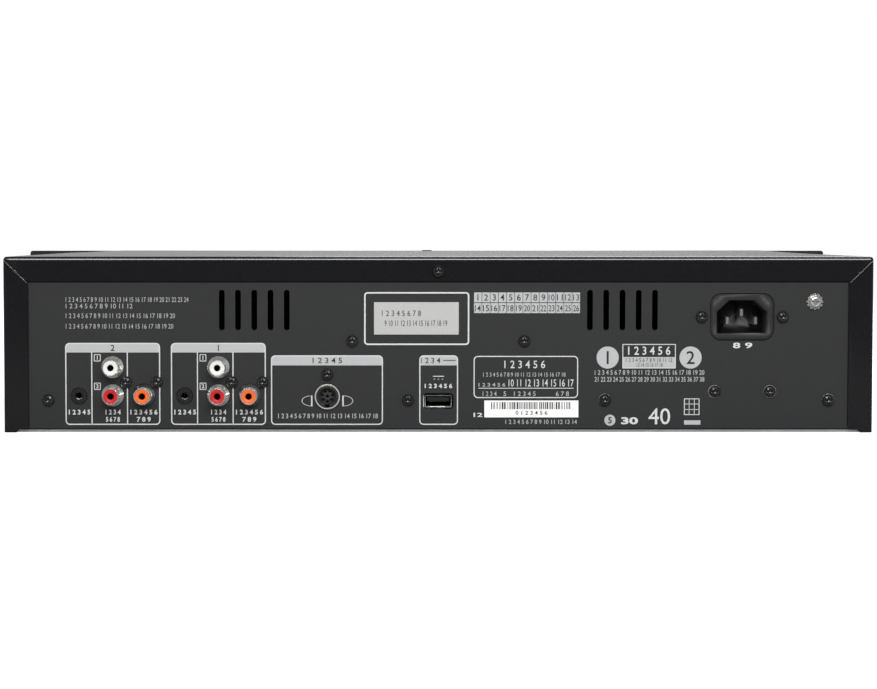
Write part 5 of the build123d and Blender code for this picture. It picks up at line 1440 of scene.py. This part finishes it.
# ---------------------------------------------------------------- rear sockets
@dataclass
class RearSockets:
    """The plated and moulded faces of the rear sockets, with their contacts."""

    socket: Point = (54.9, 17.8)
    ring_outer: float = 6.3
    ring_inner: float = 5.6
    digital: tuple[Point, ...] = ((145.8, 18.4), (93.4, 18.4))
    line: tuple[Point, ...] = ((161.2, 32.4), (161.2, 18.4), (108.8, 32.4), (108.8, 18.4))
    faders: tuple[Point, ...] = ((177.9, 18.0), (125.5, 18.0))
    shell_inner: float = 3.7
    bore: float = 1.72
    inlet: Point = (-150.2, 57.2)
    inlet_frame_y: float = 119.6
    usb: Point = (0.0, 15.4)
    usb_front_z: float = 27.0
    spring_bow: tuple[Point, ...] = ((119.9, 1.55), (119.2, 1.30), (118.0, 1.35), (116.0, 1.60))
    spring_sheet: float = 0.15

    @property
    def phonos(self) -> tuple[Point, ...]:
        """The middles of all six phono sockets."""
        return self.digital + self.line

    def socket_face(self, at: Vector, normal: Vector) -> int:
        """0 for the round socket's plated ring, 1 for its black moulding."""
        away = math.hypot(at.x - self.socket[0], at.z - self.socket[1])
        in_ring = self.ring_inner - 0.05 < away < self.ring_outer + 0.1
        return 0 if in_ring and at.y > 118.9 else 1

    def phono_face(self, at: Vector, normal: Vector) -> int:
        """0 for bright shells, 1 for the dull seats of the digital sockets, 2 for painted shade on
        the walls inside them.
        """
        for x, z in self.phonos:
            away = math.hypot(at.x - x, at.z - z)
            if away < self.shell_inner and abs(normal.y) < 0.5:
                return 2
            if away < 7.0 and at.y < 121.9 and (x, z) in self.digital:
                return 1
        return 0

    def insert_face(self, at: Vector, normal: Vector) -> int:
        """0 for an insert's coloured moulding, 1 for painted shade on the walls of its bore."""
        away = min(math.hypot(at.x - x, at.z - z) for x, z in self.phonos)
        return 1 if away < self.bore else 0

    def usb_face(self, at: Vector, normal: Vector) -> int:
        """0 for a data port's lower lip in bright nickel, a painted highlight; 1 for its inside,
        the black tongue with painted shade on the shell's inner walls; 2 for the rest of the shell
        in dull nickel, painted shade.
        """
        rear = at.y > 0
        middle = self.usb[1] if rear else self.usb_front_z
        inside = abs(at.x) < 6.45 and abs(at.z - middle) < 2.75
        depth = 120.0 - at.y if rear else at.y + 128.0
        # Painted shade inside the port, on the shell's walls as well as the tongue.
        if inside and depth > 0.1:
            return 1
        return 0 if at.z < middle - 2.5 else 2

    def inlet_face(self, at: Vector, normal: Vector) -> int:
        """0 for the mains inlet's frame, 1 for the walls and floor of its recess, in darker
        moulding as painted shade.
        """
        inside = abs(at.x - self.inlet[0]) < 12.7 and abs(at.z - self.inlet[1]) < 8.5
        return 1 if inside and at.y < self.inlet_frame_y else 0

    def build_contacts(self, effects: Effects) -> None:
        """Sprung contacts on both data ports' tongues."""
        work = bmesh.new()
        for facing, y, z in ((1, 120.0, self.usb[1]), (-1, -128.0, self.usb_front_z)):
            for i in range(4):
                x = self.usb[0] + (i - 1.5) * 2.3
                near, far = y - facing * 1.6, y - facing * 9.0
                self._strip(work, x, near, far, z - 0.02)
        contacts = new_piece(work, "port_contacts", [CONTACT.material(effects)], "case")

    def build_fader_springs(self, effects: Effects) -> None:
        """The sprung contact that shows inside each fader jack's bore."""
        work = bmesh.new()
        arc = [math.radians(a) for a in range(-150, -29, 20)]
        for x, z in self.faders:
            rings = []
            for y, reach in self.spring_bow:
                strokes = ((reach, arc), (reach + self.spring_sheet, arc[::-1]))
                around = [
                    Vector((x + r * math.cos(t), y, z + r * math.sin(t))) * MM
                    for r, turns in strokes
                    for t in turns
                ]
                rings.append(ring_of(work, around))
            loft(work, rings)
        springs = new_piece(work, "fader_springs", [NICKEL.material(effects)], "case")
        shade_by_angle(springs)

    @staticmethod
    def _strip(work: bmesh.types.BMesh, x: float, near: float, far: float, z: float) -> None:
        """One bent contact strip under a tongue, thicker at its bowed middle.

        Args:
            work: the mesh that it is added to.
            x: its middle.
            near: its end at the port's mouth.
            far: its end inside.
            z: its upper side.
        """
        half, sheet, bend, steps = 0.45, 0.12, 0.22, 6
        rings = []
        for i in range(steps + 1):
            share = i / steps
            y = near + (far - near) * share
            under = z - sheet - bend * math.sin(math.pi * share)
            corners = ((x - half, z), (x + half, z), (x + half, under), (x - half, under))
            rings.append(ring_of(work, (Vector((side, y, up)) * MM for side, up in corners)))
        loft(work, rings)

    def build(self, effects: Effects) -> None:
        """Dress the round socket, the phono shells and both data ports."""
        inserts = (("white", WHITE_INSERT), ("red", RED_INSERT), ("orange", ORANGE_INSERT))
        parts = (
            ("remote_socket", "round_socket", "nickel", (NICKEL, BLACK_MOULDING),
             self.socket_face),
            ("rca_shells", "phono_shells", "nickel", (NICKEL, DULL_AND_SHADED_NICKEL, RECESS_SHADE),
             self.phono_face),
            *(
                (f"rca_inserts_{colour}", f"phono_inserts_{colour}", f"insert_{colour}",
                 (finish, RECESS_SHADE), self.insert_face)
                for colour, finish in inserts
            ),
            ("usb_ports", "data_ports", "nickel", (NICKEL, JACK_BLACK_AND_SHADE, DULL_AND_SHADED_NICKEL),
             self.usb_face),
            ("ac_inlet", "mains_inlet", "moulded_black", (INLET_MOULDING, JACK_BLACK_AND_SHADE),
             self.inlet_face),
        )
        for node, piece_name, slot, finishes, choose in parts:
            SplitPart(node, piece_name, "case", slot, finishes, choose).build(effects)
        self.build_contacts(effects)
        self.build_fader_springs(effects)


@dataclass
class CaseScrews:
    """The black pan head screws, their heads domed round the cross."""

    dome: float = 0.42
    reach: float = 1.9
    near_top: float = 1.3

    def build(self, effects: Effects) -> None:
        """Copy the solid screws and raise each head's middle."""
        work = copied_node("case_screws")
        bmesh.ops.triangulate(work, faces=work.faces)
        left = set(work.verts)
        while left:
            island, edge = set(), [left.pop()]
            while edge:
                vert = edge.pop()
                island.add(vert)
                near = {e.other_vert(vert) for e in vert.link_edges} & left
                left -= near
                edge.extend(near)
            self._raise_head(island)
        screws = new_piece(work, "domed_screws", [SCREW_BLACK.material(effects)], "case")
        shade_by_angle(screws, 40.0)
        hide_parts("case_screws")

    def _raise_head(self, verts: set[bmesh.types.BMVert]) -> None:
        """Push the middle of one screw's head outwards.

        Args:
            verts: the screw's own vertices.
        """
        low = Vector([min(v.co[i] for v in verts) for i in range(3)])
        high = Vector([max(v.co[i] for v in verts) for i in range(3)])
        axis = max(range(3), key=lambda i: high[i] - low[i])
        middle = (low + high) / 2
        way = 1 if middle[axis] > 0 else -1
        tip = high[axis] if way > 0 else low[axis]
        across = [i for i in range(3) if i != axis]
        for vert in verts:
            if abs(vert.co[axis] - tip) > self.near_top * MM:
                continue
            away = math.hypot(*(vert.co[i] - middle[i] for i in across)) / MM
            rise = self.dome * max(1.0 - (away / self.reach) ** 2, 0.0)
            vert.co[axis] += way * rise * MM


# ---------------------------------------------------------------- front panel
@dataclass
class FrontPrint:
    """The fascia's numbers, tray outlines and small signs."""

    deck_x: float = 115.0
    door: tuple[float, float, float] = (139.4, 49.0, 67.0)
    margin: float = 4.2
    open_x: float = 45.0
    control_z: float = 27.0
    power_x: float = -200.0
    lamp_offset: float = 20.0

    def build(self, effects: Effects) -> None:
        """Print the fascia's legends as one piece."""
        ink = PrintLayer("front_print_white", FRONT_FACE, WHITE_INK, film=0.04)
        width, foot, top = self.door
        for side, number in ((-1, "1"), (1, "2")):
            deck = side * self.deck_x
            half = width / 2 + self.margin
            ink.box(deck - half, foot - self.margin, deck + half, top + self.margin, 0.35, 1.6)
            ink.write(number, deck - half + 0.3, self.control_z - 3.0, 6.0, Align.LEFT, weight=0.08)
            x = deck + self.open_x
            foot_z = self.control_z + 6.4
            ink.slab([(x - 2.2, foot_z + 1.2), (x + 2.2, foot_z + 1.2), (x, foot_z + 3.6)])
            ink.bar(x - 2.2, foot_z, x + 2.2, foot_z + 0.7)
            ink.ring(x - self.lamp_offset, self.control_z, 2.6, 0.25)
        ink.write("ON/OFF", self.power_x, self.control_z + 8.8, 2.2, weight=0.02)
        ink.ring(self.power_x, self.control_z, 7.4, 0.3, 64)
        ink.box(-9.6, self.control_z - 5.6, 9.6, self.control_z + 5.6, 0.3, 1.4)
        ink.bar(-3.5, self.control_z + 8.6, 3.5, self.control_z + 9.0)
        for step in (-1, 0, 1):
            ink.bar(step * 2.5 - 0.8, self.control_z + 7.4, step * 2.5 + 0.8, self.control_z + 7.8)
        ink.piece(effects, "case", "panel_black")


@dataclass
class FrontControls:
    """The board behind the fascia: its key switches and the two tray lamps."""

    lamps_x: tuple[float, ...] = (-90.0, 140.0)
    lamp_z: float = 27.0
    lamp_reach: float = 1.8
    board_y: float = -118.1

    def finish_of(self, at: Vector, normal: Vector) -> int:
        """0 for the board, 1 for its switches, 2 for the lamps."""
        for x in self.lamps_x:
            if math.hypot(at.x - x, at.z - self.lamp_z) < self.lamp_reach and at.y < self.board_y:
                return 2
        return 1 if at.y < self.board_y - 0.2 else 0

    def build(self, effects: Effects) -> None:
        """Dress the front board."""
        SplitPart(
            "front_board", "control_board", "case", "board_green",
            (BOARD_GREEN, BLACK_MOULDING, LAMP_GREEN), self.finish_of,
        ).build(effects)


# ---------------------------------------------------------------- mechanisms
@dataclass
class Deck:
    """One tray mechanism's two-tone parts: its turntable and laser sled."""

    number: int
    x: float
    disc_y: float = -55.0
    turntable_top: float = 58.15
    sled_top: float = 52.7

    def turntable_face(self, at: Vector, normal: Vector) -> int:
        """1 for the rubber ring that the disc rests on, 0 for the metal."""
        away = math.hypot(at.x - self.x, at.y - self.disc_y)
        return 1 if away > 8.6 and at.z > self.turntable_top else 0

    def sled_face(self, at: Vector, normal: Vector) -> int:
        """1 for the raised lens, 0 for the die casting."""
        return 1 if at.z > self.sled_top else 0

    def build(self, effects: Effects) -> None:
        """Dress the turntable and the sled of this deck."""
        n = self.number
        SplitPart(
            f"turntable_{n}", f"disc_seat_{n}", f"turntable_{n}", "aluminium",
            (SPUN_ALUMINIUM, RUBBER), self.turntable_face,
        ).build(effects)
        SplitPart(
            f"laser_sled_{n}", f"optical_sled_{n}", f"laser_sled_{n}", "sled_grey",
            (SLED_GREY, LENS), self.sled_face,
        ).build(effects)


@dataclass
class Transformer:
    """The mains transformer: varnished core, taped winding."""

    middle: Point = (-122.0, 78.0)
    core_half: float = 7.05

    def finish_of(self, at: Vector, normal: Vector) -> int:
        """0 for the core's plates, 1 for the winding's tape."""
        return 1 if abs(at.y - self.middle[1]) > self.core_half else 0

    def build(self, effects: Effects) -> None:
        """Dress the transformer."""
        SplitPart(
            "transformer", "mains_transformer", "case", "core_steel",
            (LAMINATIONS, SLEEVE), self.finish_of,
        ).build(effects)


# ---------------------------------------------------------------- studio
@dataclass(frozen=True)
class Softbox:
    """One soft lamp: where it stands, its size in metres, its watts, and if gloss shows it."""

    name: str
    place: tuple[float, float, float]
    size: Point
    watts: float
    mirrored: bool

    def build(self, aim: Vector) -> None:
        """Make the lamp and point it at the aim."""
        data = bpy.data.lights.new(self.name, "AREA")
        data.shape = "RECTANGLE"
        data.size, data.size_y = self.size
        data.energy = self.watts
        lamp = bpy.data.objects.new(self.name, data)
        lamp.location = self.place
        lamp.rotation_euler = (aim - Vector(self.place)).to_track_quat("-Z", "Y").to_euler()
        lamp.visible_glossy = self.mirrored
        bpy.context.scene.collection.objects.link(lamp)


@dataclass
class Studio:
    """A pale floor, soft lamps, a white surround and the camera."""

    eye: tuple[float, float, float] = (0.03058, 1.1735, 0.09817)
    tilt: float = 87.4
    lens: float = 87.54
    shift: Point = (0.0707, -0.0156)
    floor_half: float = 6.0
    floor_end: float = 0.75
    room: float = 0.34
    wall: float = 0.50
    wings: float = 0.25
    dim: float = 0.03
    wall_edge: Point = (-0.93, -0.99)
    wing_edge: Point = (0.55, 0.9)
    floor_glow: float = 0.80
    floor_mirrored: Colour = (0.22, 0.22, 0.22)
    aim: tuple[float, float, float] = (0.0, 0.0, 0.05)
    softboxes: tuple[Softbox, ...] = (
        Softbox("softbox_rear", (-0.08, 1.52, 0.88), (1.3, 0.7), 22.0, True),
        Softbox("softbox_top", (0.0, -0.1, 1.7), (1.5, 1.2), 15.0, False),
        Softbox("softbox_front", (-0.4, -1.5, 1.1), (1.2, 0.8), 16.0, True),
    )

    def build_floor(self) -> None:
        """A wide pale floor that shows as white and keeps the shadow."""
        work = bmesh.new()
        bmesh.ops.create_grid(work, x_segments=6, y_segments=6, size=self.floor_half)
        for vert in work.verts:
            vert.co.y = min(vert.co.y, self.floor_end)
        mesh = bpy.data.meshes.new("studio_floor")
        work.to_mesh(mesh)
        work.free()
        floor = bpy.data.objects.new("studio_floor", mesh)
        floor.location.z = -0.0001
        bpy.context.scene.collection.objects.link(floor)
        paper = bpy.data.materials.new("Studio_paper")
        paper.use_nodes = True
        bench = Bench(paper.node_tree)
        shader = paper.node_tree.nodes["Principled BSDF"]
        fibre = bench.noise(bench.place(), 180.0, 4.0)
        colour = bench.tint(fibre, (0.58, 0.58, 0.58), (0.62, 0.62, 0.62))
        shader.inputs["Roughness"].default_value = 0.9
        path = bench.node("ShaderNodeLightPath")
        mirrored = bench.tint(path.outputs["Is Glossy Ray"], colour, self.floor_mirrored)
        bench.feed(shader.inputs["Base Color"], mirrored)
        seen = bench.maths("MULTIPLY", path.outputs["Is Camera Ray"], self.floor_glow)
        bench.feed(shader.inputs["Emission Strength"], seen)
        shader.inputs["Emission Color"].default_value = (1.0, 1.0, 1.0, 1.0)
        mesh.materials.append(paper)

    def build_world(self) -> None:
        """White to the camera; to the object, an even room whose gloss shows bright walls."""
        world = bpy.data.worlds.new("Studio_room")
        bpy.context.scene.world = world
        world.use_nodes = True
        tree = world.node_tree
        tree.nodes.clear()
        bench = Bench(tree)
        way = bench.node("ShaderNodeTexCoord").outputs["Generated"]
        parts = bench.node("ShaderNodeSeparateXYZ", {0: way})
        beyond = bench.remap(parts.outputs["Y"], *self.wall_edge, 0.0, self.wall)
        aside = bench.maths("ABSOLUTE", parts.outputs["X"])
        sides = bench.remap(aside, *self.wing_edge, 0.0, self.wings)
        bright = bench.maths("MAXIMUM", beyond, sides)
        shown = bench.maths("ADD", bright, self.dim)
        path = bench.node("ShaderNodeLightPath")
        glossy = path.outputs["Is Glossy Ray"]
        level = bench.remap(glossy, 0.0, 1.0, self.room, shown)
        room = bench.node("ShaderNodeBackground", {"Color": (1, 1, 1, 1), "Strength": level})
        white = bench.node("ShaderNodeBackground", {"Color": (1, 1, 1, 1), "Strength": 1.0})
        seen = bench.maths(
            "MAXIMUM", path.outputs["Is Camera Ray"], path.outputs["Is Transmission Ray"]
        )
        both = bench.node(
            "ShaderNodeMixShader", {0: seen, 1: room.outputs[0], 2: white.outputs[0]}
        )
        bench.node("ShaderNodeOutputWorld", {"Surface": both.outputs[0]})

    def build_camera(self) -> None:
        """The camera at the photograph's place, level sides kept upright by its shift."""
        data = bpy.data.cameras.new("photo_camera")
        data.lens = self.lens
        data.sensor_width = 36.0
        data.sensor_fit = "HORIZONTAL"
        data.shift_x, data.shift_y = self.shift
        data.clip_start = 0.01
        camera = bpy.data.objects.new("photo_camera", data)
        camera.location = self.eye
        camera.rotation_euler = (math.radians(self.tilt), 0.0, math.radians(180.0))
        bpy.context.scene.collection.objects.link(camera)
        bpy.context.scene.camera = camera

    def build(self) -> None:
        """Build the whole studio."""
        bpy.context.scene.view_settings.view_transform = "Standard"
        self.build_floor()
        self.build_world()
        for softbox in self.softboxes:
            softbox.build(Vector(self.aim))
        self.build_camera()


def dress_nodes(frame: dict[str, object], effects: Effects) -> None:
    """Give every solid the finish of its slot in the record.

    Args:
        effects: the shared node groups.
    """
    slots = {s["node"]: s["material_slot"] for s in frame["record"]["subparts"]}
    for name, node in frame["nodes"].items():
        finish = NODE_FINISH.get(name, SLOT_FINISH[slots[name]])
        node.data.materials.clear()
        node.data.materials.append(finish.material(effects))
        LOG.info("%s: %s", name, finish.name)


def main() -> None:
    """Load the part, dress it and light it."""
    logging.basicConfig(level=logging.INFO, format="%(message)s")
    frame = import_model()
    effects = Effects()
    Studio().build()
    dress_nodes(frame, effects)
    sections = (
        Lid(), RearPrint(), ScrapedRings(), CaseScrews(), RearSockets(), FrontPrint(),
        FrontControls(),
        Transformer(), Deck(1, -115.0), Deck(2, 115.0),
    )
    for section in sections:
        section.build(effects)
        LOG.info("built %s", type(section).__name__)


if __name__ == "__main__":
    main()
